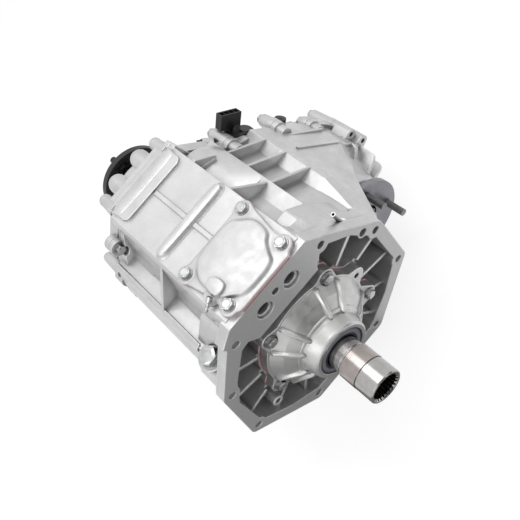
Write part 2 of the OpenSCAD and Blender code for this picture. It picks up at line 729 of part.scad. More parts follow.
// Node: rear case, which closes the chain housing
module rear_case() {
    color(cast_colour) difference() {
        union() {
            case_lip(case_len + seal_bead, case_len + seal_bead + lip_t);
            slab(case_len + seal_bead, rear_wall_y - 8) belt(0);
            cone(big_r, big_r - 10, rear_wall_y - 10, rear_wall_y);
            cone(small_r, small_r - 10, rear_wall_y - 10, rear_wall_y, front_axis);
            slab(rear_wall_y - 10, rear_wall_y) belt(-10);
            slab(case_len + seal_bead, case_len + 20) polygon([[-52, top_z - 1], [-62, 130], [-100, 90], [100, 90], [62, 130], [52, top_z - 1]]);
            cone(76, 62, rear_wall_y - 12, rear_wall_y + 16);
            rod(62, rear_wall_y, neck_end);
            for (i = [0 : 5]) rod(9, neck_end - 20, neck_end, polar(60, 60 * i + 30));
            // Front shaft's rear bearing boss
            cone(52, 46, rear_wall_y - 2, rear_wall_y + 8, front_axis);
            // Long bolt bosses
            for (i = [0 : len(rear_bolts) - 1])
                cone(12, 9.5, case_len + 2, case_len + rear_boss_len[i], rear_bolts[i]);
            // Domed ends of the rail bores, and two shorter domes at the top corners
            for (s = [-1, 1]) {
                dome(dome_r, dome_len, [s * rail_x, rail_z]);
                dome(9, 32, [s * blind_x, blind_z]);
                cone(11, 9, case_len + 2, case_len + 26, [s * blind_x, blind_z]);
            }
            // Bosses of the connector and the switches
            connector_place() translate([0, 0, -22]) linear_extrude(24) link([0, 0], [20, -6], 15, 13);
            switch_place() translate([0, 0, -16]) cylinder(r = 12, h = 17);
            second_switch_place() translate([0, 0, -15]) cylinder(r = 8.5, h = 16);
            // Stiffening ribs on the back wall
            for (a = [20, 75, 130, 185, 240]) rotate([0, -a, 0])
                slab(rear_wall_y - 6, rear_wall_y + 8) polygon([[60, -2.5], [big_r - 14, -2.5], [big_r - 14, 2.5], [60, 2.5]]);
        }
        slab(case_len - 1, rear_wall_y - wall) belt(-wall);
        slab(case_len - 1, case_len + 12) shift_room();
        rod(rail_r + run_gap, case_len, rail_rear + range_travel + 2, [-rail_x, rail_z]);
        rod(rail_r + run_gap, case_len, rail_rear + lock_travel + 2, [rail_x, rail_z]);
        connector_place() {
            translate([0, 0, -20]) cylinder(r = 9, h = 40);
            translate([0, 0, connector_seat]) linear_extrude(30) {
                link([21, -8], [5, 3], 13.4, 11.4);
                link([21, -8], [1, -12], 13.5, 6.4);
            }
        }
        switch_place() translate([0, 0, -14]) cylinder(r = 7, h = 20);
        second_switch_place() translate([0, 0, -13]) cylinder(r = 4.5, h = 20);
        for (p = dowel_places) rod(dowel_r + e, case_len - 1, case_len + 8, p);
        // Bearing seats
        rod(45, rear_wall_y - 30, rear_wall_y + 1);
        rod(34, rear_wall_y, neck_end + 1);
        rod(40, case_len, rear_wall_y - 2, front_axis);
        for (p = front_bolts) rod(bolt_r + e, case_len, case_len + 10.5, p);
        for (i = [0 : len(rear_bolts) - 1]) {
            rod(bolt_r + e, case_len - 1, case_len + 60, rear_bolts[i]);
            rod(9.3, case_len + rear_boss_len[i], rear_wall_y + 20, rear_bolts[i]);
        }
        for (i = [0 : 5]) rod(bolt_r + e, neck_end - 22, neck_end + 1, polar(60, 60 * i + 30));
    }
}

module dome(r, reach, at) {
    y = case_len + reach;
    turned(concat([[0, case_len + 2], [r, case_len + 2], [r, y]], [for (a = [15 : 15 : 75]) [r * cos(a), y + r * sin(a)]],
        [[0, y + r]]), at);
}

// Node: sealant squeezed out at the rear joint
module joint_sealant() {
    color(red_colour) difference() {
        case_lip(case_len, case_len + seal_bead);
        slab(case_len - 1, case_len + 2) belt(-wall + 3);
        slab(case_len - 1, case_len + 2) shift_room();
        for (p = concat(front_bolts, rear_bolts)) rod(bolt_r + 1, case_len - 1, case_len + 2, p);
        for (p = dowel_places) rod(dowel_r + 1, case_len - 1, case_len + 2, p);
    }
}

// Node: bolts of the rear joint
module case_bolts() {
    color(zinc_colour) {
        for (p = front_bolts) hex_bolt(p, case_len - lip_t, 19);
        for (i = [0 : len(rear_bolts) - 1])
            hex_bolt(rear_bolts[i], case_len + rear_boss_len[i], rear_boss_len[i] + 18, -1);
    }
}

// Node: extension housing behind the rear case
module extension_housing() {
    color(cast_colour) difference() {
        union() {
            slab(neck_end, neck_end + 8) {
                circle(60);
                for (i = [0 : 5]) translate(polar(60, 60 * i + 30)) circle(10);
            }
            turned([[0, neck_end + 4], [56, neck_end + 4], [52, neck_end + ext_len * 7 / 36],
                [47, neck_end + ext_len * 17 / 36], [50, neck_end + ext_len * 5 / 9],
                [50, ext_end], [0, ext_end]]);
            for (a = [0 : 60 : 300]) rotate([0, -a, 0])
                slab(neck_end + 4, neck_end + ext_len * 19 / 36) polygon([[40, -2.5], [54, -2.5], [54, 2.5], [40, 2.5]]);
            speed_place() translate([0, 0, 30]) cylinder(r = 13, h = 34);
        }
        rod(38, neck_end - 1, ext_end - 28);
        rod(40, ext_end - 30, ext_end - 10);
        rod(seal_r, ext_end - 12, ext_end + 1);
        rod(34, ext_end - 14, ext_end);
        for (i = [0 : 5]) {
            rod(bolt_r + e, neck_end - 1, neck_end + 9, polar(60, 60 * i + 30));
            rod(9.2, neck_end + 8, neck_end + 30, polar(60, 60 * i + 30));
        }
        speed_place() translate([0, 0, 20]) cylinder(r = 8, h = 60);
    }
}

// Line of the speed sensor, which points down and outwards
module speed_place() {
    translate([0, neck_end + 21 + ext_len / 8, 0]) rotate([0, 150, 0]) children();
}

// Node: bolts of the extension housing
module extension_bolts() {
    color(zinc_colour) for (i = [0 : 5]) hex_bolt(polar(60, 60 * i + 30), neck_end + 8, 28, -1);
}

// Node: speed sensor in the extension housing
module speed_sensor() {
    color(black_colour) speed_place() {
        translate([0, 0, 40]) cylinder(r = 8 - e, h = 24);
        translate([0, 0, 64]) cylinder(r = 13, h = 4);
        translate([-8, -10, 68]) cube([16, 26, 14]);
    }
}

// Node: filler plug and its washer
module filler_plug() {
    color(zinc_colour) plug_place() {
        translate([0, 0, 2]) cylinder(r = 14.5, h = 2);
        translate([0, 0, 4]) cylinder(r = 13.2, h = 8.5, $fn = 6);
        translate([0, 0, 12.5]) cylinder(r1 = 11, r2 = 8.5, h = 1);
        translate([0, 0, -12]) cylinder(r = 9 - e, h = 15);
    }
}

// Node: drain plug and its washer
module drain_plug() {
    color(zinc_colour) drain_place() {
        translate([0, 0, 6]) cylinder(r = 13, h = 2);
        translate([0, 0, 8]) cylinder(r = 11, h = 7, $fn = 6);
        translate([0, 0, -12]) cylinder(r = 9 - e, h = 19);
    }
}

// Node: steel breather tube
module breather_pipe() {
    color(steel_colour) breather_place() difference() {
        union() {
            translate([0, 0, -10]) cylinder(r = 3 - e, h = 38);
            translate([0, 0, 1]) cylinder(r = 3.6, h = 3);
        }
        translate([0, 0, -11]) cylinder(r = 1.8, h = 40);
    }
}

// Node: breather nozzle in the cover's finger
module cover_nozzle() {
    color(dark_steel) nozzle_place() {
        translate([0, 0, -5]) cylinder(r = 2.4 - e, h = 10);
        translate([0, 0, 4]) cylinder(r = 4.4, h = 4, $fn = 6);
        translate([0, 0, 8]) cylinder(r = 2.4, h = 9);
        translate([0, 0, 12]) cylinder(r1 = 3.2, r2 = 2.2, h = 3);
    }
}

// Node: seal at the retainer nose
module input_seal() {
    color(black_colour) lip_seal(journal_r, seal_r, -nose_front + 1, 10);
}

// Node: seal at the extension housing
module rear_seal() {
    color(black_colour) translate([0, 2 * ext_end - 1, 0]) mirror([0, 1, 0]) lip_seal(rear_journal + 4, seal_r, ext_end, 10);
}

// Node: seal at the front output
module front_seal() {
    color(black_colour) lip_seal(rear_journal + 2, seal_r, front_seal_y, 10, front_axis);
}

// Node: input shaft bearing
module input_bearing() {
    color(steel_colour) ball_bearing(journal_r + run_gap, 42.5, -29, bearing_w);
}

// Node: bearing at the rear wall
module output_bearing() {
    color(steel_colour) ball_bearing(rear_journal + run_gap, 45, rear_wall_y - bearing_w - 2, bearing_w);
}

// Node: bearing in the extension housing
module tail_bearing() {
    color(steel_colour) ball_bearing(rear_journal - 2 + run_gap, 40, ext_end - 29, 16);
}

// Node: both bearings of the front output shaft
module front_bearings() {
    color(steel_colour) {
        ball_bearing(rear_journal - 2 + run_gap, 40, front_bearing_y, 16, front_axis);
        ball_bearing(rear_journal - 2 + run_gap, 40, case_len + 10, 16, front_axis);
    }
}

// Node: input sleeve and shaft
module input_shaft() {
    color(steel_colour) difference() {
        turned([[0, -input_len], [input_r - 1, -input_len], [input_r, 1.5 - input_len], [input_r, -89.6],
            [input_r - 0.7, -89.6], [input_r - 0.7, -88.4], [input_r + 0.4, -88.4], [input_r + 0.4, -64],
            [input_r - 0.6, -63], [journal_r - 0.6, -63], [journal_r - 0.6, -61], [journal_r, -60],
            [journal_r, 14], [cup_r, 14], [cup_r, 44], [0, 44]]);
        slab(-input_len - 1, -74) polygon(spline_points(spline_n, spline_minor, spline_minor + 2.1, 0.5));
        cone(spline_minor + 2.6, spline_minor + 0.2, -input_len - e, -input_len + 2.4);
        rod(12 + run_gap, 2, 30);
        slab(28, 46) polygon(spline_points(clutch_n, clutch_minor, clutch_major, 0.56));
    }
}

// Node: sun gear on the input shaft
module sun_gear() {
    color(steel_colour) slab(gear_y, gear_y + gear_w) difference() {
        polygon(gear_points(gear_m, sun_n, gear_m, 1.25 * gear_m, backlash));
        circle(cup_r);
    }
}

// Node: planet carrier
module planet_carrier() {
    color(dark_steel) difference() {
        union() {
            rod(carrier_r, carrier_front, carrier_front + 8);
            rod(carrier_r, carrier_rear, carrier_end);
            for (i = [0 : 3]) rod(7.5, carrier_front, carrier_end, polar(planet_c, 45 + 90 * i));
        }
        rod(journal_r + 2 * run_gap, carrier_front - 1, carrier_front + 9);
        rod(cup_r + 1.5, carrier_rear - 1, carrier_rear + 4);
        // Clutch teeth that the sleeve slides into at any angle
        slab(carrier_rear + 3, carrier_end + 1)
            polygon(spline_points(clutch_n, clutch_major, clutch_major + 1.7, 0.56));
        for (i = [0 : 3]) rod(pin_r, carrier_front - 1, carrier_end + 1, polar(planet_c, 90 * i));
        for (i = [0 : 3]) rod(6, carrier_rear - 1, carrier_end + 1, polar(planet_c - 9, 45 + 90 * i));
    }
}

// Node: pins of the planets
module planet_pins() {
    color(steel_colour) for (i = [0 : 3]) rod(pin_r, carrier_front, carrier_end, polar(planet_c, 90 * i));
}

module planet(i) {
    at = polar(planet_c, 90 * i);
    color(steel_colour) slab(gear_y + 1, gear_y + gear_w - 1) translate(at) difference() {
        polygon(gear_points(gear_m, planet_n, gear_m, 1.25 * gear_m, backlash));
        circle(pin_r + run_gap);
    }
}

// Nodes: the four planets
module planet_gear_1() planet(0);
module planet_gear_2() planet(1);
module planet_gear_3() planet(2);
module planet_gear_4() planet(3);

// Node: ring gear fixed in the drum
module ring_gear() {
    color(steel_colour) slab(gear_y, gear_y + gear_w) difference() {
        circle(ring_r);
        polygon(gear_points(gear_m, ring_n, 1.25 * gear_m, gear_m, -backlash));
    }
}

// Node: range sleeve on the main shaft
module range_sleeve() {
    color(steel_colour) difference() {
        union() {
            slab(sleeve_front, sleeve_front + sleeve_teeth)
                polygon(spline_points(clutch_n, clutch_minor - 0.5, clutch_major - 0.4, 0.44));
            rod(24.5, sleeve_front, sleeve_front + sleeve_len);
            rod(collar_r, sleeve_front + groove_y - 6, sleeve_front + sleeve_len);
        }
        turned([[28, sleeve_front + groove_y], [collar_r + 1, sleeve_front + groove_y],
            [collar_r + 1, sleeve_front + groove_y + groove_w], [28, sleeve_front + groove_y + groove_w]]);
        rod(main_r + run_gap, sleeve_front - 1, sleeve_front + sleeve_len + 1);
    }
}

// Node: main shaft between the range clutch and the differential
module main_shaft() {
    color(steel_colour) turned([[0, 6], [11, 6], [12, 7], [12, 29], [main_r, 30], [main_r, diff_front + 12],
        [0, diff_front + 12]]);
}

// Node: centre differential in its case
module centre_differential() {
    color(dark_steel) difference() {
        union() {
            turned([[0, diff_front], [28, diff_front], [30, diff_front + 6], [diff_r - 6, diff_front + 10],
                [diff_r, diff_front + 16], [diff_r, diff_front + 30], [diff_r + 5, diff_front + 30],
                [diff_r + 5, diff_front + 37], [diff_r, diff_front + 37], [diff_r, diff_rear - 8],
                [diff_r - 6, diff_rear], [neck_r - 0.4, diff_rear], [neck_r - 0.4, lock_y + lock_w + 4], [0, lock_y + lock_w + 4]]);
            for (i = [0 : 7]) hex_bolt(polar(diff_r - 4, 45 * i), diff_front + 30, 4, 1, 3.5, 6.2, 5);
        }
        // Windows over the gears
        for (i = [0 : 3]) rotate([0, -(90 * i + 22.5), 0])
            translate([diff_r - 9, diff_front + 43, -9]) cube([20, 9, 18]);
        rod(main_r, diff_front - 1, diff_front + 12);
        rod(16, diff_front + 12, diff_front + 20);
        rod(20, diff_front + 20, lock_y + lock_w + 5);
    }
}

// Node: lock sleeve between differential and drive sprocket
module lock_sleeve() {
    color(steel_colour) difference() {
        rod(44, lock_y, lock_y + lock_w);
        rod(neck_r, lock_y - 1, lock_y + lock_w + 1);
        turned([[38, lock_y + 3], [45, lock_y + 3], [45, lock_y + 9], [38, lock_y + 9]]);
    }
}

function sprocket_points(n, p) =
    let (rp = p / (2 * sin(180 / n)))
    [for (i = [0 : n - 1], k = [0 : 3])
        let (a = 360 / n * (i + [-0.36, -0.17, 0.17, 0.36][k]))
        polar(rp + (k == 0 || k == 3 ? -2.6 : 2.2), a)];

module sprocket(at, bore) {
    difference() {
        union() {
            slab(chain_y, chain_y + chain_w + 1) translate(at) difference() {
                polygon(sprocket_points(sprocket_teeth, chain_pitch));
                circle(bore);
            }
            rod(34, chain_y - 4, chain_y + chain_w + 6, at);
        }
        rod(bore, chain_y - 5, chain_y + chain_w + 7, at);
        for (i = [0 : 5]) rod(5, chain_y - 5, chain_y + chain_w + 7, at + polar(43, 60 * i));
    }
}

// Node: drive sprocket on the main axis
module drive_sprocket() {
    color(steel_colour) sprocket([0, 0], rear_journal + 1);
}

// Node: driven sprocket on the front output
module driven_sprocket() {
    color(steel_colour) sprocket(front_axis, rear_journal);
}

// Place of a joint of the chain on its pitch line
pitch_r = chain_pitch / (2 * sin(180 / sprocket_teeth));
half_turn = sprocket_teeth / 2;
run_links = (chain_links - sprocket_teeth) / 2;
function chain_joint(i) =
    let (k = i % chain_links, step = 360 / sprocket_teeth, a = -front_drop, u = [cos(a), sin(a)], n = [-sin(a), cos(a)])
    k < run_links ? n * pitch_r + u * (k * chain_pitch) :
    k < run_links + half_turn ? front_axis + polar(pitch_r, a + 90 - (k - run_links) * step) :
    k < 2 * run_links + half_turn ?
        front_axis - n * pitch_r - u * ((k - run_links - half_turn) * chain_pitch) :
        polar(pitch_r, a + 270 - (k - 2 * run_links - half_turn) * step);

// Node: drive chain, its plates as one band with a pin at each joint
module chain() {
    outer_h = 6;
    inner_h = 2.9;
    color(dark_steel) {
        slab(chain_y + 1, chain_y + chain_w) difference() {
            link([0, 0], front_axis, pitch_r + outer_h, pitch_r + outer_h);
            link([0, 0], front_axis, pitch_r + inner_h, pitch_r + inner_h);
        }
        for (i = [0 : chain_links - 1]) {
            p = chain_joint(i);
            u = (chain_joint(i + 1) - p) / norm(chain_joint(i + 1) - p);
            rod(1.2, chain_y + 0.2, chain_y + chain_w + 0.8, p + [-u[1], u[0]] * (outer_h + inner_h) / 2);
        }
    }
}

// Node: rear output shaft
module rear_output_shaft() {
    color(steel_colour) turned([[0, diff_front + 22], [19.9, diff_front + 22], [19.9, lock_y + lock_w + 8],
        [rear_journal + 1, chain_y - 6], [rear_journal + 1, chain_y + chain_w + 8], [rear_journal, chain_y + chain_w + 9],
        [rear_journal, rear_wall_y], [rear_journal - 2, rear_wall_y + 2], [rear_journal - 2, ext_end - 8],
        [18, ext_end - 8], [18, rear_disc_y - 8], [12, rear_disc_y - 8], [12, rear_disc_y + 8],
        [11, rear_disc_y + 9], [0, rear_disc_y + 9]]);
}

// Companion flange, with its disc face at zero and its hub behind, pointing +Z
module companion(hub_len, shaft, neck) {
    difference() {
        union() {
            cylinder(r = companion_r, h = companion_t);
            cylinder(r1 = neck + 3, r2 = neck + 2, h = companion_t + 6);
            cylinder(r = neck, h = hub_len);
        }
        translate([0, 0, -1]) cylinder(r = 19, h = 9);
        translate([0, 0, 7]) cylinder(r = shaft, h = hub_len);
    }
}

// Node: rear companion flange
module rear_companion_flange() {
    color(black_colour) difference() {
        translate([0, rear_disc_y, 0]) rotate([90, 0, 0]) companion(rear_disc_y - ext_end + 8, 18, rear_journal + 4);
        for (i = [0 : 3]) rod(stud_r + stud_shoulder + e, rear_disc_y - 20, rear_disc_y + 1, polar(companion_bolt_r, 90 * i));
    }
}

// Node: nut of the rear companion flange
module rear_flange_nut() {
    color(zinc_colour) translate([0, rear_disc_y - 8 + 0.5, 0]) rotate([-90, 0, 0]) difference() {
        union() {
            cylinder(r = 17, h = 1.5);
            cylinder(r = 16, h = 9, $fn = 6);
        }
        translate([0, 0, -1]) cylinder(r = 12, h = 14);
    }
}

// Node: bolts of the rear companion flange, heads in front
module rear_flange_bolts() {
    color(dark_steel) for (i = [0 : 3]) {
        p = polar(companion_bolt_r, 90 * i);
        hex_bolt(p, rear_disc_y - companion_t, companion_t, 1, stud_r + stud_shoulder, 9.5, 6.5);
        rod(stud_r, rear_disc_y - 1, rear_disc_y + 22, p);
    }
}

// Node: front output shaft
module front_output_shaft() {
    color(steel_colour) turned([[0, front_disc_y - 9], [11, front_disc_y - 9], [12, front_disc_y - 8],
        [12, front_disc_y + 8], [18, front_disc_y + 8], [18, front_bearing_y - 4], [rear_journal - 2, front_bearing_y - 4],
        [rear_journal - 2, front_bearing_y + 22], [rear_journal, front_bearing_y + 24],
        [rear_journal, chain_y + chain_w + 12], [rear_journal - 2, chain_y + chain_w + 14],
        [rear_journal - 2, case_len + 27], [0, case_len + 27]], front_axis);
}

// Node: front companion flange
module front_companion_flange() {
    color([0.5, 0.5, 0.54]) difference() {
        translate([front_x, front_disc_y, front_z]) rotate([-90, 0, 0]) companion(front_bearing_y - front_disc_y - 4, 18, rear_journal + 2);
        for (i = [0 : 3]) rod(stud_r + stud_shoulder + e, front_disc_y - 1, front_disc_y + 20,
            front_axis + polar(companion_bolt_r, 67 + 90 * i));
    }
}

// Node: nut of the front companion flange
module front_flange_nut() {
    color(zinc_colour) translate([front_x, front_disc_y + 8 - 0.5, front_z]) rotate([90, 0, 0]) difference() {
        union() {
            cylinder(r = 17, h = 1.5);
            cylinder(r = 16, h = 9, $fn = 6);
        }
        translate([0, 0, -1]) cylinder(r = 12, h = 14);
    }
}

// Node: studs of the front companion flange
module front_flange_studs() {
    color(dark_steel) for (i = [0 : 3]) {
        p = front_axis + polar(companion_bolt_r, 67 + 90 * i);
        rod(stud_r, front_disc_y - stud_len, front_disc_y + 1, p);
        rod(stud_r + stud_shoulder, front_disc_y, front_disc_y + companion_t + 1, p);
        rod(stud_r + 2.5, front_disc_y + companion_t, front_disc_y + companion_t + 3, p);
    }
}

// Fork from a rail down to a groove
module fork(y, t, x, groove_r, reach) {
    difference() {
        union() {
            slab(y, y + t) {
                link([x, rail_z], [0, 0], 14, groove_r + 12);
            }
            rod(14, y - 6, y + t + 6, [x, rail_z]);
        }
        slab(y - 8, y + t + 8) {
            circle(groove_r);
            translate([0, -groove_r - 30]) square([2 * groove_r + 60, 2 * groove_r + 60 - reach], center = true);
            translate([-groove_r, -groove_r * 2]) square([2 * groove_r, groove_r * 2]);
        }
        rod(rail_r, y - 8, y + t + 8, [x, rail_z]);
    }
}

// Node: fork of the range sleeve
module range_fork() {
    color(cast_colour) fork(sleeve_front + groove_y + 0.75, groove_w - 1.5, -rail_x, 28.5, 20);
}

// Node: rail of the range fork
module range_rail() {
    color(steel_colour) rod(rail_r, rail_front, rail_rear, [-rail_x, rail_z]);
}

// Node: fork of the lock sleeve
module lock_fork() {
    color(cast_colour) fork(lock_y + 3.6, 4.8, rail_x, 38.5, 20);
}

// Node: rail of the lock fork
module lock_rail() {
    color(steel_colour) rod(rail_r, rail_front, rail_rear, [rail_x, rail_z]);
}

// Node: dowel pins of the rear joint
module dowel_pins() {
    color(steel_colour) for (p = dowel_places) rod(dowel_r, case_len - 7, case_len + 7, p);
}

// Node: oil pump behind the drive sprocket
module oil_pump() {
    color(cast_colour) difference() {
        rod(40, chain_y + chain_w + 9, chain_y + chain_w + 20);
        rod(rear_journal + 1, chain_y + chain_w + 8, chain_y + chain_w + 21);
    }
}

// Node: oil strainer in the sump
module oil_strainer() {
    strainer_w = 40;
    floor_angle = -side_angle - 2 * front_drop;
    seat_z = (big_r - wall - 0.3 + strainer_w / 2 * cos(floor_angle)) / sin(floor_angle);
    color(steel_colour) translate([0, chain_y - 2, seat_z]) linear_extrude(8) round_rect(strainer_w, 30, 8);
}

// Node: collecting magnet in the sump
module sump_magnet() {
    color(dark_steel) translate([20, 110, floor_z + wall + 0.3]) cylinder(r = 10, h = 6);
}

// Node: electrical connector on its round base
module connector() {
    plug_w = 35;
    plug_d = 13;
    plug_h = 23;
    color(black_colour) connector_place() {
        translate([0, 0, -18]) cylinder(r = 9 - e, h = 20);
        translate([0, 0, connector_seat]) linear_extrude(6.5 - connector_seat) {
            link([21, -8], [5, 3], 13, 11);
            link([21, -8], [1, -12], 13, 6);
        }
        translate([21, -8, 6]) cylinder(r1 = 12, r2 = 10, h = 3);
        translate([-5, -4, 6]) cube([20, plug_d, 6]);
        translate([-20, -4, 11]) difference() {
            cube([plug_w, plug_d, plug_h]);
            for (i = [0 : 3]) translate([1.5 + 8.1 * i, 2, plug_h - 14]) cube([7.7, plug_d - 4, 15]);
        }
        // Sleeve and screw of the base
        translate([1, -12, 6]) cylinder(r = 4.8, h = 10.5);
        translate([1, -12, 16]) cylinder(r = 3.8, h = 3);
    }
}

// Black switch with a domed cap
module cap_switch(r, h, shank) {
    translate([0, 0, -12]) cylinder(r = shank - e, h = 14);
    translate([0, 0, 1]) cylinder(r = r + 1, h = 2.5);
    translate([0, 0, 3]) cylinder(r = r, h = h - 5);
    intersection() {
        translate([0, 0, h - 2 - r]) sphere(r * 1.15);
        translate([0, 0, h - 2.1]) cylinder(r = r, h = r);
    }
}

// Node: position switch on the upper side
module position_switch() {
    color(black_colour) switch_place() cap_switch(9, 14, 7);
}

// Node: neutral switch near the top
module neutral_switch() {
    color(black_colour) second_switch_place() cap_switch(5.8, 10, 4.5);
}

front_case();
rear_case();
extension_housing();
bearing_retainer();
top_cover();
retainer_sealant();
cover_sealant();
joint_sealant();
cover_bolts();
retainer_bolts();
case_bolts();
extension_bolts();
filler_plug();
drain_plug();
breather_pipe();
cover_nozzle();
input_seal();
rear_seal();
front_seal();
input_bearing();
output_bearing();
tail_bearing();
front_bearings();
ring_gear();
chain();
dowel_pins();
oil_pump();
oil_strainer();
sump_magnet();
connector();
position_switch();
neutral_switch();
speed_sensor();
input_shaft();
sun_gear();
planet_carrier();
planet_pins();
planet_gear_1();
planet_gear_2();
planet_gear_3();
planet_gear_4();
range_sleeve();
main_shaft();
centre_differential();
lock_sleeve();
drive_sprocket();
driven_sprocket();
rear_output_shaft();
rear_companion_flange();
rear_flange_nut();
rear_flange_bolts();
front_output_shaft();
front_companion_flange();
front_flange_nut();
front_flange_studs();
range_fork();
range_rail();
lock_fork();
lock_rail();
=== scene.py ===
# Looks of the transfer case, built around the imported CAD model.
# The CAD frame: -Y is forward, +Z is up, the origin is on the input axis.
# Metres, but the scene's own pieces are drawn in millimetres and scaled when they are finished.

import math

import bpy
import bmesh
from mathutils import Matrix, Vector


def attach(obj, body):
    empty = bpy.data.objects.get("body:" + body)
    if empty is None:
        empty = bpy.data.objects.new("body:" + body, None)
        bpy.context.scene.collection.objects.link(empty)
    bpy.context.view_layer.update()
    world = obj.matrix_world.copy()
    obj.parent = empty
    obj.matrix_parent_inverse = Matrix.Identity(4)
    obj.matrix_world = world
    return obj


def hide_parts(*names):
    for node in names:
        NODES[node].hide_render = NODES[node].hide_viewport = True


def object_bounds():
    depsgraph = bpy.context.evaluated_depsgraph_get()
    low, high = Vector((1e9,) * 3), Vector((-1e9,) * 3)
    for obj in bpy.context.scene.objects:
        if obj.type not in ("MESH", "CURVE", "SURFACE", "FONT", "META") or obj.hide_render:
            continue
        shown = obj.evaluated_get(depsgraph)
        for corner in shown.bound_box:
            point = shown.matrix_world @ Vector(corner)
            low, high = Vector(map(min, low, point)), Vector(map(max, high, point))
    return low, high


MM = 0.001
IMAGE_SIDE = 520

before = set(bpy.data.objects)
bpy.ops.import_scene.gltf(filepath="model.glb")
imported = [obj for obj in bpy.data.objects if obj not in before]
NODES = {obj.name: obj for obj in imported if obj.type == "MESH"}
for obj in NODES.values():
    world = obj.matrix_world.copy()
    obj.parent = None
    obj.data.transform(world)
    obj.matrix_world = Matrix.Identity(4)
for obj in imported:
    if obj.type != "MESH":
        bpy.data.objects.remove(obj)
CAD_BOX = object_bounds()


# Camera

CAMERA_PLACE = Vector((-0.0161, -0.4022, 0.7545))
CAMERA_RIGHT = Vector((0.64822, -0.63539, -0.41963))
CAMERA_DOWN = Vector((-0.76024, -0.50893, -0.40377))
CAMERA_AHEAD = Vector((0.04299, 0.58075, -0.81295))
FOCAL_PIXELS = 676.02
SENSOR = 36.0


def make_camera():
    data = bpy.data.cameras.new("camera")
    data.sensor_fit = "HORIZONTAL"
    data.sensor_width = SENSOR
    data.lens = FOCAL_PIXELS / IMAGE_SIDE * SENSOR
    data.clip_start = 0.02
    data.clip_end = 40
    camera = bpy.data.objects.new("camera", data)
    bpy.context.scene.collection.objects.link(camera)
    columns = (CAMERA_RIGHT, -CAMERA_DOWN, -CAMERA_AHEAD)
    turn = Matrix([[axis[row] for axis in columns] for row in range(3)])
    camera.matrix_world = Matrix.Translation(CAMERA_PLACE) @ turn.to_4x4()
    bpy.context.scene.camera = camera


# Node helpers for materials

# Reach of the open-side test for the painted highlight along outer edges.
EDGE_HIGHLIGHT_REACH = 0.0035


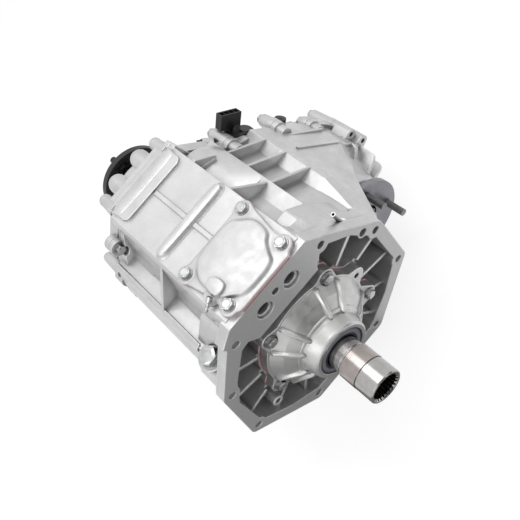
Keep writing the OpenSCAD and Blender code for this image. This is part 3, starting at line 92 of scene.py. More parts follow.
class Shader:
    """A material's node tree, with short calls for the nodes that the finishes share."""

    def __init__(self, name):
        self.material = bpy.data.materials.new(name)
        self.material.use_nodes = True
        self.tree = self.material.node_tree
        self.surface = self.tree.nodes["Principled BSDF"]
        self.spot = self.tree.nodes.new("ShaderNodeTexCoord").outputs["Object"]

    def node(self, kind, **settings):
        made = self.tree.nodes.new(kind)
        for key, value in settings.items():
            setattr(made, key, value)
        return made

    def link(self, source, target):
        self.tree.links.new(source, target)

    def set(self, **values):
        for key, value in values.items():
            socket = self.surface.inputs[key.replace("_", " ")]
            if isinstance(value, bpy.types.NodeSocket):
                self.link(value, socket)
            elif isinstance(value, tuple):
                socket.default_value = (*value, 1.0)
            else:
                socket.default_value = value

    def noise(self, size, detail=3.0, rough=0.5, stretch=None):
        """Noise with features of this size in metres."""
        texture = self.node("ShaderNodeTexNoise")
        texture.inputs["Scale"].default_value = 1.0 / size
        texture.inputs["Detail"].default_value = detail
        texture.inputs["Roughness"].default_value = rough
        self.link(self.stretched(stretch) if stretch else self.spot, texture.inputs["Vector"])
        return texture.outputs["Fac"]

    def stretched(self, scale):
        mapping = self.node("ShaderNodeMapping")
        mapping.inputs["Scale"].default_value = scale
        self.link(self.spot, mapping.inputs["Vector"])
        return mapping.outputs["Vector"]

    def remap(self, value, low, high, to_low=0.0, to_high=1.0):
        made = self.node("ShaderNodeMapRange")
        self.link(value, made.inputs["Value"])
        made.inputs["From Min"].default_value = low
        made.inputs["From Max"].default_value = high
        made.inputs["To Min"].default_value = to_low
        made.inputs["To Max"].default_value = to_high
        return made.outputs["Result"]

    def math(self, kind, a, b=0.0):
        made = self.node("ShaderNodeMath", operation=kind)
        for socket, value in zip(made.inputs, (a, b)):
            if isinstance(value, bpy.types.NodeSocket):
                self.link(value, socket)
            else:
                socket.default_value = value
        return made.outputs["Value"]

    def mix(self, share, first, second):
        made = self.node("ShaderNodeMix", data_type="RGBA")
        self.link(share, made.inputs["Factor"])
        for socket, value in ((made.inputs[6], first), (made.inputs[7], second)):
            if isinstance(value, bpy.types.NodeSocket):
                self.link(value, socket)
            else:
                socket.default_value = (*value, 1.0)
        return made.outputs[2]

    def axis(self, name):
        made = self.node("ShaderNodeSeparateXYZ")
        self.link(self.spot, made.inputs["Vector"])
        return made.outputs[name]

    def soft_edges(self, radius):
        """A normal that rounds the model's sharp edges."""
        made = self.node("ShaderNodeBevel", samples=6)
        made.inputs["Radius"].default_value = radius
        return made.outputs["Normal"]

    def painted_corner_shade(self, reach, low):
        """Painted shade: a share that runs from low in corners and under edges up to 1 on open faces, to
        darken the colour where shade falls.
        """
        made = self.node("ShaderNodeAmbientOcclusion", samples=6)
        made.inputs["Distance"].default_value = reach
        return self.remap(made.outputs["AO"], 0.25, 0.9, low, 1.0)

    def painted_edge_highlight(self, rounded_normal):
        """Mask for a painted highlight: 1 along outer edges, where the rounded normal leaves the true one,
        and 0 elsewhere.
        """
        shape = self.node("ShaderNodeNewGeometry")
        compare = self.node("ShaderNodeVectorMath", operation="DOT_PRODUCT")
        self.link(rounded_normal, compare.inputs[0])
        self.link(shape.outputs["True Normal"], compare.inputs[1])
        turned = self.remap(compare.outputs["Value"], 0.995, 0.93)
        inside = self.node("ShaderNodeAmbientOcclusion", samples=4)
        inside.inputs["Distance"].default_value = EDGE_HIGHLIGHT_REACH
        open_side = self.remap(inside.outputs["AO"], 0.75, 0.95)
        return self.math("MULTIPLY", turned, open_side)

    def scaled(self, colour, share):
        """The colour times a share from 0 to 1."""
        made = self.node("ShaderNodeMix", data_type="RGBA", blend_type="MULTIPLY")
        made.inputs["Factor"].default_value = 1.0
        self.link(colour, made.inputs[6])
        self.link(share, made.inputs[7])
        return made.outputs[2]

    def radius(self):
        """Distance from the input axis."""
        across = self.math("POWER", self.axis("X"), 2.0)
        up = self.math("POWER", self.axis("Z"), 2.0)
        return self.math("SQRT", self.math("ADD", across, up))

    def threads(self, pitch):
        """Ridges across Y at this pitch, from 0 to 1."""
        turn = self.math("MULTIPLY", self.axis("Y"), 2 * math.pi / pitch)
        return self.remap(self.math("SINE", turn), -1.0, 1.0)

    def bump(self, height, depth, strength=1.0, normal=None):
        made = self.node("ShaderNodeBump")
        made.inputs["Strength"].default_value = strength
        made.inputs["Distance"].default_value = depth
        self.link(height, made.inputs["Height"])
        if normal is not None:
            self.link(normal, made.inputs["Normal"])
        return made.outputs["Normal"]


# Finishes

CAST_GRAIN = 0.0011
CAST_FLOW = 0.045
CAST_CLOUD = 0.009
CAST_METALLIC = 0.74
MILLED_METALLIC = 0.40
MILLED_MARKS = 0.0009
MILLED_DARK = (0.52, 0.52, 0.53)
MILLED_LIGHT = (0.60, 0.60, 0.61)
# Pale tone and share of the painted highlight along outer edges.
EDGE_HIGHLIGHT_TONE = (0.92, 0.92, 0.92)
EDGE_HIGHLIGHT_SHARE = 0.75
SMALL_FILLET = 0.0006
BAND_FRONT = -0.0895
BAND_BACK = -0.064
SEAL_FACE_IN = 0.0268
SEAL_FACE_OUT = 0.0336


def shade(tone, share):
    """A colour made darker or lighter."""
    return tuple(min(1.0, channel * share) for channel in tone)


def cast_metal(name, tone, rough, fillet=0.0022, machined=None):
    """Bead-blasted die casting: fine grain, faint flow marks, rounded edges, a painted highlight along outer
    edges and painted shade in corners.
    machined is the place on Y of a milled front face, which is greyer and less like a mirror."""
    shader = Shader(name)
    grain = shader.noise(CAST_GRAIN, detail=4.0, rough=0.6)
    flow = shader.noise(CAST_FLOW, detail=5.0, rough=0.55)
    cloud = shader.noise(CAST_CLOUD)
    base = shader.mix(shader.remap(flow, 0.35, 0.65), shade(tone, 0.84), shade(tone, 1.08))
    fine = shader.mix(shader.remap(grain, 0.3, 0.7), shade(tone, 0.80), tone)
    tint = shader.mix(shader.remap(cloud, 0.4, 0.6, 0.3, 0.6), base, fine)
    shine = shader.remap(cloud, 0.35, 0.65, rough - 0.05, rough + 0.06)
    metallic = CAST_METALLIC
    if machined is not None:
        face = shader.remap(shader.axis("Y"), machined + 0.0002, machined + 0.0006, 1.0, 0.0)
        marks = shader.noise(MILLED_MARKS, detail=2.0, stretch=(0.15, 1.0, 1.0))
        milled = shader.mix(shader.remap(marks, 0.3, 0.7), MILLED_DARK, MILLED_LIGHT)
        tint = shader.mix(face, tint, milled)
        metallic = shader.remap(face, 0.0, 1.0, CAST_METALLIC, MILLED_METALLIC)
    soft = shader.soft_edges(fillet)
    # Painted highlight: outer edges are lightened towards a pale tone, as if light caught the rounded edges.
    edge = shader.math("MULTIPLY", shader.painted_edge_highlight(soft), EDGE_HIGHLIGHT_SHARE)
    tint = shader.mix(edge, tint, EDGE_HIGHLIGHT_TONE)
    # Painted shade: the colour is darkened in corners and under edges.
    tint = shader.scaled(tint, shader.painted_corner_shade(0.009, 0.42))
    normal = shader.bump(grain, 0.00020, 0.5, soft)
    shader.set(Base_Color=tint, Metallic=metallic, Roughness=shine, Normal=normal)
    return shader


def steel(name, tone, rough, metallic=1.0, pitch=None):
    """Plain or plated steel with faint blotches. pitch cuts threads across Y."""
    shader = Shader(name)
    fine = shader.noise(0.0015)
    blotch = shader.noise(0.012, detail=4.0)
    tint = shader.mix(shader.remap(blotch, 0.35, 0.65), shade(tone, 0.8), tone)
    # Painted shade: the colour is darkened in corners and under edges.
    tint = shader.scaled(tint, shader.painted_corner_shade(0.006, 0.35))
    shine = shader.remap(blotch, 0.35, 0.65, rough - 0.04, rough + 0.06)
    normal = shader.bump(fine, 0.00003, 0.5, shader.soft_edges(SMALL_FILLET))
    if pitch is not None:
        normal = shader.bump(shader.threads(pitch), pitch * 0.35, 1.0, normal)
    shader.set(Base_Color=tint, Metallic=metallic, Roughness=shine, Normal=normal)
    return shader


def ground_steel(name):
    """Ground and turned shaft: rings along Y, a browned band ahead of the seal."""
    shader = Shader(name)
    rings = shader.noise(0.0006, detail=2.0, stretch=(0.01, 1.0, 0.01))
    blotch = shader.noise(0.010)
    along = shader.axis("Y")
    band = shader.math("MULTIPLY", shader.remap(along, BAND_FRONT, BAND_FRONT + 0.001),
                       shader.remap(along, BAND_BACK - 0.002, BAND_BACK, 1.0, 0.0))
    plain = shader.mix(shader.remap(blotch, 0.35, 0.65), (0.40, 0.39, 0.385), (0.44, 0.43, 0.425))
    browned = shader.mix(shader.remap(blotch, 0.4, 0.6), (0.40, 0.345, 0.32), (0.34, 0.30, 0.285))
    tint = shader.mix(shader.math("MULTIPLY", band, 0.8), plain, browned)
    # Painted shade: the colour is darkened in corners and under edges.
    tint = shader.scaled(tint, shader.painted_corner_shade(0.006, 0.3))
    shine = shader.remap(rings, 0.3, 0.7, 0.19, 0.27)
    normal = shader.bump(rings, 0.000006, 0.2, shader.soft_edges(SMALL_FILLET))
    shader.set(Base_Color=tint, Metallic=1.0, Roughness=shine, Normal=normal)
    return shader


def painted(name, tone, rough, size=0.0012, depth=0.00006):
    """Paint, plastic, rubber or sealant, with a grain of this size and depth."""
    shader = Shader(name)
    fine = shader.noise(size)
    dust = shader.noise(0.006, detail=5.0, rough=0.65)
    light = tuple(channel * 1.35 + 0.006 for channel in tone)
    tint = shader.mix(shader.remap(dust, 0.4, 0.7), tone, light)
    shine = shader.remap(dust, 0.3, 0.7, rough - 0.05, rough + 0.08)
    normal = shader.bump(fine, depth, 0.5, shader.soft_edges(0.0008))
    shader.set(Base_Color=tint, Metallic=0.0, Roughness=shine, Normal=normal)
    return shader


def joint_gap(name):
    """Thin gap between castings, dark, with red sealant showing in places."""
    shader = Shader(name)
    patch = shader.noise(0.02)
    tint = shader.mix(shader.remap(patch, 0.50, 0.56), (0.055, 0.05, 0.05), (0.42, 0.03, 0.04))
    shine = shader.remap(patch, 0.3, 0.7, 0.45, 0.6)
    shader.set(Base_Color=tint, Metallic=0.0, Roughness=shine)
    return shader


def seal_face(name):
    """Shaft seal: dark rim, blue-grey face, dark lip."""
    shader = Shader(name)
    fine = shader.noise(0.0015)
    out = shader.radius()
    face = shader.math("MULTIPLY", shader.remap(out, SEAL_FACE_IN, SEAL_FACE_IN + 0.0006),
                       shader.remap(out, SEAL_FACE_OUT - 0.0006, SEAL_FACE_OUT, 1.0, 0.0))
    pale = shader.mix(shader.remap(fine, 0.3, 0.7), (0.20, 0.21, 0.25), (0.27, 0.28, 0.32))
    tint = shader.mix(face, (0.03, 0.03, 0.035), pale)
    shine = shader.remap(fine, 0.3, 0.7, 0.38, 0.5)
    normal = shader.bump(fine, 0.00005, 0.5, shader.soft_edges(SMALL_FILLET))
    shader.set(Base_Color=tint, Metallic=0.2, Roughness=shine, Normal=normal)
    return shader


def make_finishes():
    finishes = {
        "case": cast_metal("case_aluminium", (0.66, 0.655, 0.66), 0.38, machined=0.0),
        "retainer": cast_metal("retainer_aluminium", (0.64, 0.635, 0.63), 0.33, fillet=0.0018),
        "cover": cast_metal("cover_aluminium", (0.64, 0.635, 0.64), 0.48, fillet=0.0015),
        "zinc": steel("zinc_plate", (0.56, 0.565, 0.57), 0.26),
        "phosphate": steel("phosphated_steel", (0.30, 0.295, 0.32), 0.42, metallic=0.85),
        "stud": steel("stud_steel", (0.26, 0.255, 0.25), 0.36, pitch=0.0015),
        "black_bolt": steel("black_bolt", (0.06, 0.06, 0.065), 0.36),
        "joint": joint_gap("joint_gap"),
        # Near-black colour for the ends of holes: painted shade.
        "bore": painted("bore_shade", (0.035, 0.033, 0.032), 0.6),
        "seal": seal_face("seal_face"),
        "gear": steel("gear_steel", (0.42, 0.42, 0.43), 0.30),
        "chain": steel("chain_steel", (0.28, 0.28, 0.29), 0.34),
        "bearing": steel("bearing_steel", (0.58, 0.58, 0.59), 0.20),
        "ground": ground_steel("ground_steel"),
        "black_paint": painted("black_paint", (0.018, 0.018, 0.020), 0.42),
        "black_plastic": painted("black_plastic", (0.010, 0.010, 0.012), 0.42),
        "rubber": painted("seal_rubber", (0.030, 0.032, 0.038), 0.50),
        "sealant": painted("red_sealant", (0.62, 0.030, 0.045), 0.38, size=0.004, depth=0.0003),
    }
    return {key: shader.material for key, shader in finishes.items()}


FINISH_OF = {
    "case": ["front_case", "rear_case", "extension_housing", "oil_pump"],
    "retainer": ["bearing_retainer"],
    "cover": ["top_cover"],
    "zinc": ["cover_bolts", "retainer_bolts", "case_bolts", "extension_bolts", "filler_plug", "drain_plug",
             "breather_pipe", "dowel_pins", "oil_strainer"],
    "black_bolt": ["rear_flange_bolts"],
    "phosphate": ["front_companion_flange"],
    "stud": ["front_flange_studs", "front_flange_nut", "rear_flange_nut", "cover_nozzle", "sump_magnet"],
    "gear": ["ring_gear", "sun_gear", "planet_carrier", "planet_pins", "planet_gear_1", "planet_gear_2",
             "planet_gear_3", "planet_gear_4", "range_sleeve", "main_shaft", "centre_differential",
             "lock_sleeve", "drive_sprocket", "driven_sprocket", "range_fork", "range_rail", "lock_fork",
             "lock_rail"],
    "chain": ["chain"],
    "bearing": ["input_bearing", "output_bearing", "tail_bearing", "front_bearings"],
    "ground": ["input_shaft", "rear_output_shaft", "front_output_shaft"],
    "black_paint": ["rear_companion_flange"],
    "black_plastic": ["connector", "position_switch", "neutral_switch", "speed_sensor"],
    "rubber": ["rear_seal", "front_seal"],
    "seal": ["input_seal"],
    "sealant": ["retainer_sealant", "cover_sealant"],
    "joint": ["joint_sealant"],
}


def dress_nodes(finishes):
    for finish, names in FINISH_OF.items():
        for name in names:
            mesh = NODES[name].data
            mesh.materials.clear()
            mesh.materials.append(finishes[finish])


# Mesh helpers for the scene's own pieces, in millimetres until they are finished

# How a relief narrows, as shares of its spread and of its height
SOFT_SIDE = [(1.0, 0.0), (0.80, 0.07), (0.58, 0.24), (0.42, 0.50), (0.28, 0.76), (0.10, 0.94), (-0.25, 1.0)]
ROUND_TOP = [(1.0, 0.0), (1.0, 0.80), (0.75, 0.93), (0.30, 0.985), (-0.30, 1.0)]
RELIEF_SINK = 0.6
CIRCLE_POINTS = 32
OUTLINE_POINTS = 180
SHARP_ANGLE = 38.0


def full_turn(count):
    """Angles of one turn in equal steps."""
    return [2 * math.pi * i / count for i in range(count)]


def rounded(points, rounds):
    """A closed outline with its corners cut round."""
    points = [Vector(point) for point in points]
    for _ in range(rounds):
        cut = []
        for first, second in zip(points, points[1:] + points[:1]):
            cut.append(first.lerp(second, 0.25))
            cut.append(first.lerp(second, 0.75))
        points = cut
    return points


def grown(points, distance):
    """A closed outline, drawn anticlockwise, moved outwards."""
    out = []
    for i, point in enumerate(points):
        along = (points[(i + 1) % len(points)] - points[i - 1]).normalized()
        out.append(point + Vector((along.y, -along.x)) * distance)
    return out


def circle(centre, radius):
    x, y = centre
    return [Vector((x + radius * math.cos(turn), y + radius * math.sin(turn)))
            for turn in full_turn(CIRCLE_POINTS)]


def reach_along(ray, centre, shape):
    """How far a ray from the centre goes before it leaves a closed outline, or 0 if it misses it."""
    reach = 0.0
    for first, second in zip(shape, shape[1:] + shape[:1]):
        start = Vector(first) - centre
        side = Vector(second) - centre - start
        cross = ray.x * side.y - ray.y * side.x
        if abs(cross) < 1e-9:
            continue
        far = (start.x * side.y - start.y * side.x) / cross
        share = (start.x * ray.y - start.y * ray.x) / cross
        if 0.0 <= share <= 1.0:
            reach = max(reach, far)
    return reach


def seen_outline(centre, shapes):
    """Outer edge of several overlapping outlines, as seen from a centre inside them."""
    centre = Vector(centre)
    out = []
    for turn in full_turn(OUTLINE_POINTS):
        ray = Vector((math.cos(turn), math.sin(turn)))
        out.append(centre + ray * max(reach_along(ray, centre, shape) for shape in shapes))
    return out


def add_loft(mesh, rings):
    """Adds a closed shell over rings of points that all have the same count."""
    rows = [[mesh.verts.new(point) for point in ring] for ring in rings]
    count = len(rows[0])
    for low, high in zip(rows, rows[1:]):
        for i in range(count):
            j = (i + 1) % count
            mesh.faces.new((low[i], low[j], high[j], high[i]))
    mesh.faces.new(list(reversed(rows[0])))
    mesh.faces.new(rows[-1])


def smooth_rings(rings, steps=4):
    """Fills rings in between, along a smooth curve through each row of points."""
    out = []
    last = len(rings) - 1
    for i in range(last):
        before = rings[max(i - 1, 0)]
        here = rings[i]
        there = rings[i + 1]
        after = rings[min(i + 2, last)]
        for step in range(steps):
            t = step / steps
            ring = []
            for a, b, c, d in zip(before, here, there, after):
                a, b, c, d = (Vector(v) for v in (a, b, c, d))
                ring.append(0.5 * (2 * b + (c - a) * t + (2 * a - 5 * b + 4 * c - d) * t * t
                                   + (3 * b - a - 3 * c + d) * t ** 3))
            out.append(ring)
    out.append([Vector(v) for v in rings[-1]])
    return out


def add_relief(mesh, outline, low, high, spread, profile=SOFT_SIDE):
    """Adds a raised form on an outline in X and Y. Its foot stands out by the spread."""
    rings = [[Vector((point.x, point.y, low - RELIEF_SINK)) for point in grown(outline, spread)]]
    for share, height in profile:
        ring = grown(outline, spread * share)
        rings.append([Vector((point.x, point.y, low + (high - low) * height)) for point in ring])
    add_loft(mesh, rings)


def add_turned(mesh, section, centre, count):
    """Adds a closed ring about a line along Y through centre, from its [radius, y] section."""
    x, z = centre
    rows = []
    for turn in full_turn(count):
        rows.append([mesh.verts.new((x + radius * math.cos(turn), y, z + radius * math.sin(turn)))
                     for radius, y in section])
    for here, there in zip(rows, rows[1:] + rows[:1]):
        for k in range(len(section)):
            n = (k + 1) % len(section)
            mesh.faces.new((here[k], here[n], there[n], there[k]))


def add_spun(mesh, section, start, along, count):
    """Adds a closed shell about any line, from its [distance, radius] section."""
    side = along.orthogonal().normalized()
    other = along.cross(side)
    add_loft(mesh, [[start + along * far + (side * math.cos(turn) + other * math.sin(turn)) * radius
                     for turn in full_turn(count)] for far, radius in section])


def finish_piece(name, mesh, material, body="case", angle=SHARP_ANGLE):
    """Turns the shells into an object in metres that rides on a body."""
    bmesh.ops.recalc_face_normals(mesh, faces=mesh.faces)
    bmesh.ops.triangulate(mesh, faces=[face for face in mesh.faces if len(face.verts) > 4])
    bmesh.ops.scale(mesh, vec=(MM, MM, MM), verts=mesh.verts)
    data = bpy.data.meshes.new(name)
    mesh.to_mesh(data)
    mesh.free()
    data.materials.append(material)
    for face in data.polygons:
        face.use_smooth = True
    data.set_sharp_from_angle(angle=math.radians(angle))
    piece = bpy.data.objects.new(name, data)
    bpy.context.scene.collection.objects.link(piece)
    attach(piece, body)
    return piece


# Cover with its panel, finger and nozzle

TOP_Z = 151.0
COVER_LOW = TOP_Z + 1.6
PLATE_TOP = COVER_LOW + 5.5
PANEL_TOP = COVER_LOW + 11.5
FINGER_TOP = PANEL_TOP + 4.6
NECK_TOP = PANEL_TOP - 2.0
PANEL_DRAFT = 6.0
FINGER_DRAFT = 3.4
NECK_DRAFT = 2.6
EDGE_DRAFT = 0.8
COVER_CENTRE = (0, 49)
COVER_PLATE = [(-52, 9), (-38, 0), (38, 0), (50, 9), (50, 39), (57, 79), (50, 96), (-50, 96), (-57, 79),
               (-50, 39)]
COVER_BOLTS = [(48.5, 89), (-49.5, 89), (43.5, 16), (-44, 16)]
BOLT_LOBE = 12
BOLT_PAD = 9.6
PANEL = [(-22, 8), (20, 8), (25, 20), (34, 34), (42, 38), (45, 55), (43, 67), (34, 77), (28, 89),
         (-24, 89), (-33, 81), (-42, 70), (-44, 57), (-43, 30), (-31, 20)]
FINGER = [(-32, 50.5), (-35.5, 53.5), (-41, 53), (-44.5, 49.5), (-46.5, 39), (-45.5, 33), (-41, 29.8),
          (-37, 29.6), (-31.5, 31.5), (-29.6, 34.5), (-29, 43)]
NECK = [(-39, 45), (-50, 49.5), (-55.5, 48.5), (-57, 43), (-54.5, 37), (-43, 33)]
NOZZLE_START = Vector((-50.4, 38.7, TOP_Z + 13.2))
NOZZLE_ALONG = Vector((-0.86, -0.17, -0.48)).normalized()
NOZZLE = [(0.0, 3.3), (6.2, 3.3), (6.8, 2.7), (7.4, 1.9), (10.6, 1.9), (10.9, 2.6), (13.0, 1.9), (15.6, 1.9),
          (15.9, 2.6), (18.6, 1.7), (19.0, 1.2)]


def make_cover(finishes):
    mesh = bmesh.new()
    lobes = [circle(place, BOLT_LOBE) for place in COVER_BOLTS]
    plate = rounded(seen_outline(COVER_CENTRE, [COVER_PLATE] + lobes), 1)
    add_relief(mesh, plate, COVER_LOW + 0.6, PLATE_TOP, 0.0, ROUND_TOP)
    add_relief(mesh, grown(plate, -1.2), PLATE_TOP - 1.0, PLATE_TOP + 0.35, EDGE_DRAFT)
    add_relief(mesh, rounded(PANEL, 3), PLATE_TOP, PANEL_TOP, PANEL_DRAFT)
    add_relief(mesh, rounded(FINGER, 2), PLATE_TOP, FINGER_TOP, FINGER_DRAFT)
    add_relief(mesh, rounded(NECK, 2), PLATE_TOP - 6.0, NECK_TOP, NECK_DRAFT)
    for place in COVER_BOLTS:
        add_relief(mesh, circle(place, BOLT_PAD), PLATE_TOP, PLATE_TOP + 0.5, EDGE_DRAFT)
    piece = finish_piece("cover_casting", mesh, finishes["cover"])
    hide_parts("top_cover")


def make_nozzle(finishes):
    """Slim barbed nozzle in the neck of the finger."""
    mesh = bmesh.new()
    add_spun(mesh, NOZZLE, NOZZLE_START, NOZZLE_ALONG, 24)
    piece = finish_piece("hose_nozzle", mesh, finishes["zinc"])
    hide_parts("cover_nozzle")


# Forms of the front case that stand over the plain solid

RIB = [(-50, 139.2), (50, 139.2), (53.5, 143), (50, 147.2), (-50, 147.2), (-53.5, 143)]
RIB_HEIGHT = 6.6
RIB_DRAFT = 5.4
STEP = [(-52, 240), (-44, 237), (44, 237), (52, 240), (53.5, 247), (53.5, 255.5), (-53.5, 255.5),
        (-53.5, 247)]
STEP_HEIGHT = 3.65
STEP_DRAFT = 3.4

# Places on Y with the [x, z] of the bulge's top there, and the foot that all of them share
BULGE_TOP = [
    (146, [(58, 104), (66, 103.5), (76, 102), (90, 101), (103, 99.2)]),
    (160, [(58, 110), (66, 107.5), (76, 106), (90, 104), (103.6, 100.2)]),
    (178, [(58, 118), (66, 114.5), (76, 113), (90, 109.5), (103.8, 101.5)]),
    (196, [(58, 127), (66, 123.5), (76, 121.5), (90, 116), (103, 106)]),
    (210, [(58, 133), (66, 129.5), (76, 126.5), (89, 120), (102.4, 108.6)]),
    (226, [(58, 137), (66, 134.5), (76, 130.5), (88, 123.5), (102, 107.5)]),
    (240, [(58, 134), (66.5, 131), (76, 127), (87.5, 119), (101.4, 103.4)]),
    (250, [(58, 126), (67, 122.5), (77, 119), (88, 111), (102, 96)]),
    (255.5, [(58, 116), (68, 112), (78, 106), (88, 98), (102, 86)]),
]
BULGE_FOOT = [(106, 84), (80, 76), (58, 84)]
FIN = [(58, 116), (58, 150.2), (62, 150.2), (86, 130.2), (86.6, 127), (72, 114)]
FIN_FACES = (204.4, 209.6)

# Across X: the flange's edge, the casting behind it, and how deep the fillet is sunk
FILLET_ACROSS = [
    (57, 150.5, 148, 145), (61, 149.5, 140, 136), (68, 142.6, 124.5, 119), (75, 135.6, 121.5, 116),
    (82, 128.8, 120.5, 116), (89, 121, 113.5, 110), (96, 113.3, 107, 104), (103, 105.4, 100.5, 97),
    (110, 97.5, 93, 90), (117, 89.6, 83, 80), (124, 81.7, 71, 67), (131, 73.8, 60, 55),
    (138, 65.9, 53, 41), (144, 59.2, 48, 33), (148, 54.6, 44, 31),
]
# Along Y: how much of the step from the casting to the edge is left
FILLET_ALONG = [(13, 1.0), (17, 0.97), (21, 0.66), (26, 0.38), (32, 0.17), (40, 0.03), (48, -0.06)]
REAR_BOSS_START = Vector((-110.5, 254.0, 65.0))
REAR_BOSS = [(0.0, 9.8), (40.0, 8.0), (43.5, 7.0), (45.6, 4.8), (46.4, 2.0)]
RAIL_BORES = [(-22.5, 121.4), (22.5, 121.4)]
BORE_STEP = [(8.3, 9.8), (8.3, 4.2), (9.0, 3.6), (11.9, 3.6), (11.9, 9.8)]
# Section of the near-black disc that paints shade at the end of each rail bore.
BORE_SHADE_DISC = [(0.3, 9.9), (0.3, 9.2), (8.2, 9.2), (8.2, 9.9)]
BLIND_PLACE = (-102, -45)
BLIND_BOSS = [(3.8, 12.0), (3.8, 0.6), (4.4, 0.0), (7.4, 0.0), (8.2, 0.8), (9.0, 60.0), (3.8, 60.0)]
# Section of the near-black disc that paints shade at the end of the blind hole.
BLIND_SHADE_DISC = [(0.2, 11.9), (0.2, 8.0), (3.7, 8.0), (3.7, 11.9)]


def make_top_forms(finishes):
    """Draft of the rib across the top, and of the step ahead of the rear joint."""
    mesh = bmesh.new()
    add_relief(mesh, grown(rounded(RIB, 2), 1.6), TOP_Z, TOP_Z + RIB_HEIGHT, RIB_DRAFT)
    add_relief(mesh, rounded(STEP, 2), TOP_Z, TOP_Z + STEP_HEIGHT, STEP_DRAFT)
    finish_piece("top_forms", mesh, finishes["case"])


def make_rear_bulge(finishes):
    """Bulge of the casting between the box and the first crest, up to the rear joint."""
    mesh = bmesh.new()
    add_loft(mesh, smooth_rings([[(x, y, z) for x, z in top + BULGE_FOOT] for y, top in BULGE_TOP]))
    finish_piece("rear_bulge", mesh, finishes["case"])


def make_rear_fin(finishes):
    """Fin between the box and the bulge."""
    mesh = bmesh.new()
    add_loft(mesh, [[(x, y, z) for x, z in FIN] for y in FIN_FACES])
    finish_piece("rear_fin", mesh, finishes["case"])


def make_flange_fillet(finishes):
    """Fillet behind the flange, from its edge down to the box and the crest."""
    mesh = bmesh.new()
    rings = []
    for y, share in FILLET_ALONG:
        top = [(x, y, floor + (edge - floor) * share) for x, edge, floor, low in FILLET_ACROSS]
        foot = [(x, y, low) for x, edge, floor, low in reversed(FILLET_ACROSS)]
        rings.append(top + foot)
    add_loft(mesh, rings)
    finish_piece("flange_fillet", mesh, finishes["case"])


def make_rear_boss(finishes):
    """Long tapered boss behind the left of the rear joint."""
    mesh = bmesh.new()
    add_spun(mesh, REAR_BOSS, REAR_BOSS_START, Vector((0.0, 1.0, 0.0)), 40)
    finish_piece("rear_boss", mesh, finishes["case"])


def make_recess_forms(finishes):
    """Round boss with a blind hole in the recess, and the steps in the rail bores."""
    mesh = bmesh.new()
    add_turned(mesh, BLIND_BOSS, BLIND_PLACE, 40)
    for place in RAIL_BORES:
        add_turned(mesh, BORE_STEP, place, 48)
    finish_piece("recess_forms", mesh, finishes["case"])


def make_bore_shade_discs(finishes):
    """Near-black discs at the ends of the rail bores and of the blind hole: painted shade inside the holes.
    """
    mesh = bmesh.new()
    for place in RAIL_BORES:
        add_turned(mesh, BORE_SHADE_DISC, place, 40)
    add_turned(mesh, BLIND_SHADE_DISC, BLIND_PLACE, 32)
    finish_piece("bore_shade_discs", mesh, finishes["bore"])


# Rim, shoulder and webs of the bearing retainer, from [radius, y] sections

RIM = [(69.0, 3.0), (69.0, -1.9), (69.8, -2.6), (72.2, -2.6), (73.0, -1.9), (73.4, 3.0)]
SHOULDER = [(40.0, -20.0), (40.0, -43.4), (41.8, -43.0), (44.6, -28.4), (47.5, -24.8), (51.5, -23.2),
            (52.0, -20.0)]
RETAINER_BOLT_ANGLES = (51, 124, 192, 242, 290, 332)
WEB_FROM_BOLT = 13
WEB_FOOT = [(48, -22), (56, -16.5), (76, 2.2), (77, 3), (62, 3)]
WEB_RIDGE = [(46.5, -28.5), (53.5, -26.4), (78.5, -6.4), (78, 3), (62, 3)]
WEB_FOOT_HALF = 5.4
WEB_RIDGE_HALF = 1.7


def make_retainer_rim(finishes):
    mesh = bmesh.new()
    for section in (RIM, SHOULDER):
        add_turned(mesh, section, (0, 0), 96)
    finish_piece("retainer_rim", mesh, finishes["retainer"])


def make_retainer_webs(finishes):
    """Drafted webs on both sides of each bolt."""
    mesh = bmesh.new()
    for angle in RETAINER_BOLT_ANGLES:
        for side in (-WEB_FROM_BOLT, WEB_FROM_BOLT):
            turn = math.radians(angle + side)
            out = Vector((math.cos(turn), 0.0, math.sin(turn)))
            across = Vector((-math.sin(turn), 0.0, math.cos(turn)))
            rings = []
            for offset, section in ((-WEB_FOOT_HALF, WEB_FOOT), (-WEB_RIDGE_HALF, WEB_RIDGE),
                                    (WEB_RIDGE_HALF, WEB_RIDGE), (WEB_FOOT_HALF, WEB_FOOT)):
                rings.append([out * radius + Vector((0.0, y, 0.0)) + across * offset
                              for radius, y in section])
            add_loft(mesh, rings)
    finish_piece("retainer_webs", mesh, finishes["retainer"], angle=50.0)


# Room: floor, world, lamps and cards

FLOOR_Z = CAD_BOX[0][2]
FLOOR_HALF = 6.0
FLOOR_TONE = 0.45
FLOOR_GLOW = 0.72
WORLD_LIGHT = 0.40
WORLD_SEEN = 1.0
ROOM_CENTRE = (0.06, 0.12, 0.0)
CARD_LOW = (-0.32, -0.45)


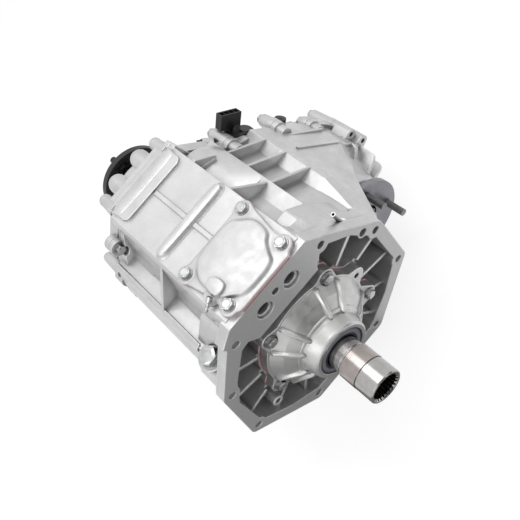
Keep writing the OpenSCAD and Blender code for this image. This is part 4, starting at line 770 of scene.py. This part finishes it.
def make_floor():
    mesh = bpy.data.meshes.new("floor")
    corners = [(-FLOOR_HALF, -FLOOR_HALF), (FLOOR_HALF, -FLOOR_HALF), (FLOOR_HALF, FLOOR_HALF),
               (-FLOOR_HALF, FLOOR_HALF)]
    mesh.from_pydata([(x, y, FLOOR_Z) for x, y in corners], [], [(0, 1, 2, 3)])
    floor = bpy.data.objects.new("floor", mesh)
    bpy.context.scene.collection.objects.link(floor)
    material = bpy.data.materials.new("floor")
    material.use_nodes = True
    tree = material.node_tree
    tree.nodes.clear()
    out = tree.nodes.new("ShaderNodeOutputMaterial")
    add = tree.nodes.new("ShaderNodeAddShader")
    diffuse = tree.nodes.new("ShaderNodeBsdfDiffuse")
    diffuse.inputs["Color"].default_value = (FLOOR_TONE, FLOOR_TONE, FLOOR_TONE, 1)
    glow = tree.nodes.new("ShaderNodeEmission")
    lift = tree.nodes.new("ShaderNodeMath")
    lift.operation = "MULTIPLY"
    lift.inputs[1].default_value = FLOOR_GLOW
    tree.links.new(seen_rays(tree), lift.inputs[0])
    tree.links.new(lift.outputs[0], glow.inputs["Strength"])
    tree.links.new(diffuse.outputs[0], add.inputs[0])
    tree.links.new(glow.outputs[0], add.inputs[1])
    tree.links.new(add.outputs[0], out.inputs["Surface"])
    mesh.materials.append(material)


def seen_rays(tree):
    """1 for camera, glossy and transmission rays, and 0 for the rays that light the object."""
    path = tree.nodes.new("ShaderNodeLightPath")
    first = tree.nodes.new("ShaderNodeMath")
    first.operation = "MAXIMUM"
    second = tree.nodes.new("ShaderNodeMath")
    second.operation = "MAXIMUM"
    tree.links.new(path.outputs["Is Camera Ray"], first.inputs[0])
    tree.links.new(path.outputs["Is Glossy Ray"], first.inputs[1])
    tree.links.new(first.outputs[0], second.inputs[0])
    tree.links.new(path.outputs["Is Transmission Ray"], second.inputs[1])
    return second.outputs[0]


def make_world():
    world = bpy.data.worlds.new("room")
    bpy.context.scene.world = world
    world.use_nodes = True
    tree = world.node_tree
    background = tree.nodes["Background"]
    background.inputs["Color"].default_value = (1, 1, 1, 1)
    strength = tree.nodes.new("ShaderNodeMapRange")
    strength.inputs["To Min"].default_value = WORLD_LIGHT
    strength.inputs["To Max"].default_value = WORLD_SEEN
    tree.links.new(seen_rays(tree), strength.inputs["Value"])
    tree.links.new(strength.outputs["Result"], background.inputs["Strength"])


def aim(thing, place, target):
    """Puts a lamp or a card at a place and turns its face to the target."""
    thing.location = place
    thing.rotation_euler = (Vector(target) - Vector(place)).to_track_quat("-Z", "Y").to_euler()


def area_lamp(name, place, size, power):
    data = bpy.data.lights.new(name, "AREA")
    data.shape = "RECTANGLE"
    data.size, data.size_y = size
    data.energy = power
    lamp = bpy.data.objects.new(name, data)
    bpy.context.scene.collection.objects.link(lamp)
    aim(lamp, place, ROOM_CENTRE)


def dark_card(name, place, target, size, tone):
    """A dark card that only reflections see, as beside metal in a studio."""
    mesh = bpy.data.meshes.new(name)
    half_w = size[0] / 2
    half_h = size[1] / 2
    corners = [(-half_w, -half_h, 0), (half_w, -half_h, 0), (half_w, half_h, 0), (-half_w, half_h, 0)]
    mesh.from_pydata(corners, [], [(0, 1, 2, 3)])
    card = bpy.data.objects.new(name, mesh)
    bpy.context.scene.collection.objects.link(card)
    aim(card, place, target)
    material = bpy.data.materials.new(name)
    material.use_nodes = True
    surface = material.node_tree.nodes["Principled BSDF"]
    surface.inputs["Base Color"].default_value = (tone, tone, tone, 1)
    surface.inputs["Roughness"].default_value = 0.9
    mesh.materials.append(material)
    card.visible_camera = False
    card.visible_diffuse = False
    card.visible_shadow = False


def make_room():
    make_floor()
    make_world()
    area_lamp("key", (-1.3, -0.3, 1.2), (1.0, 1.0), 6)
    area_lamp("top", (0.3, 0.6, 1.9), (1.4, 1.0), 12)
    area_lamp("fill", (0.9, -1.5, 1.3), (1.0, 0.7), 6)
    dark_card("card_low", (*CARD_LOW, FLOOR_Z + 0.003), (*CARD_LOW, 1.0), (0.8, 1.0), 0.36)
    dark_card("card_front", (0.25, -1.3, 0.50), ROOM_CENTRE, (1.4, 1.2), 0.05)
    dark_card("card_right", (1.1, -0.4, 0.25), ROOM_CENTRE, (0.8, 0.8), 0.05)


# Closing


def main():
    make_camera()
    finishes = make_finishes()
    dress_nodes(finishes)
    make_cover(finishes)
    make_nozzle(finishes)
    make_top_forms(finishes)
    make_rear_bulge(finishes)
    make_rear_fin(finishes)
    make_flange_fillet(finishes)
    make_rear_boss(finishes)
    make_recess_forms(finishes)
    make_bore_shade_discs(finishes)
    make_retainer_rim(finishes)
    make_retainer_webs(finishes)
    make_room()
    bpy.context.scene.view_settings.view_transform = "Standard"


main()
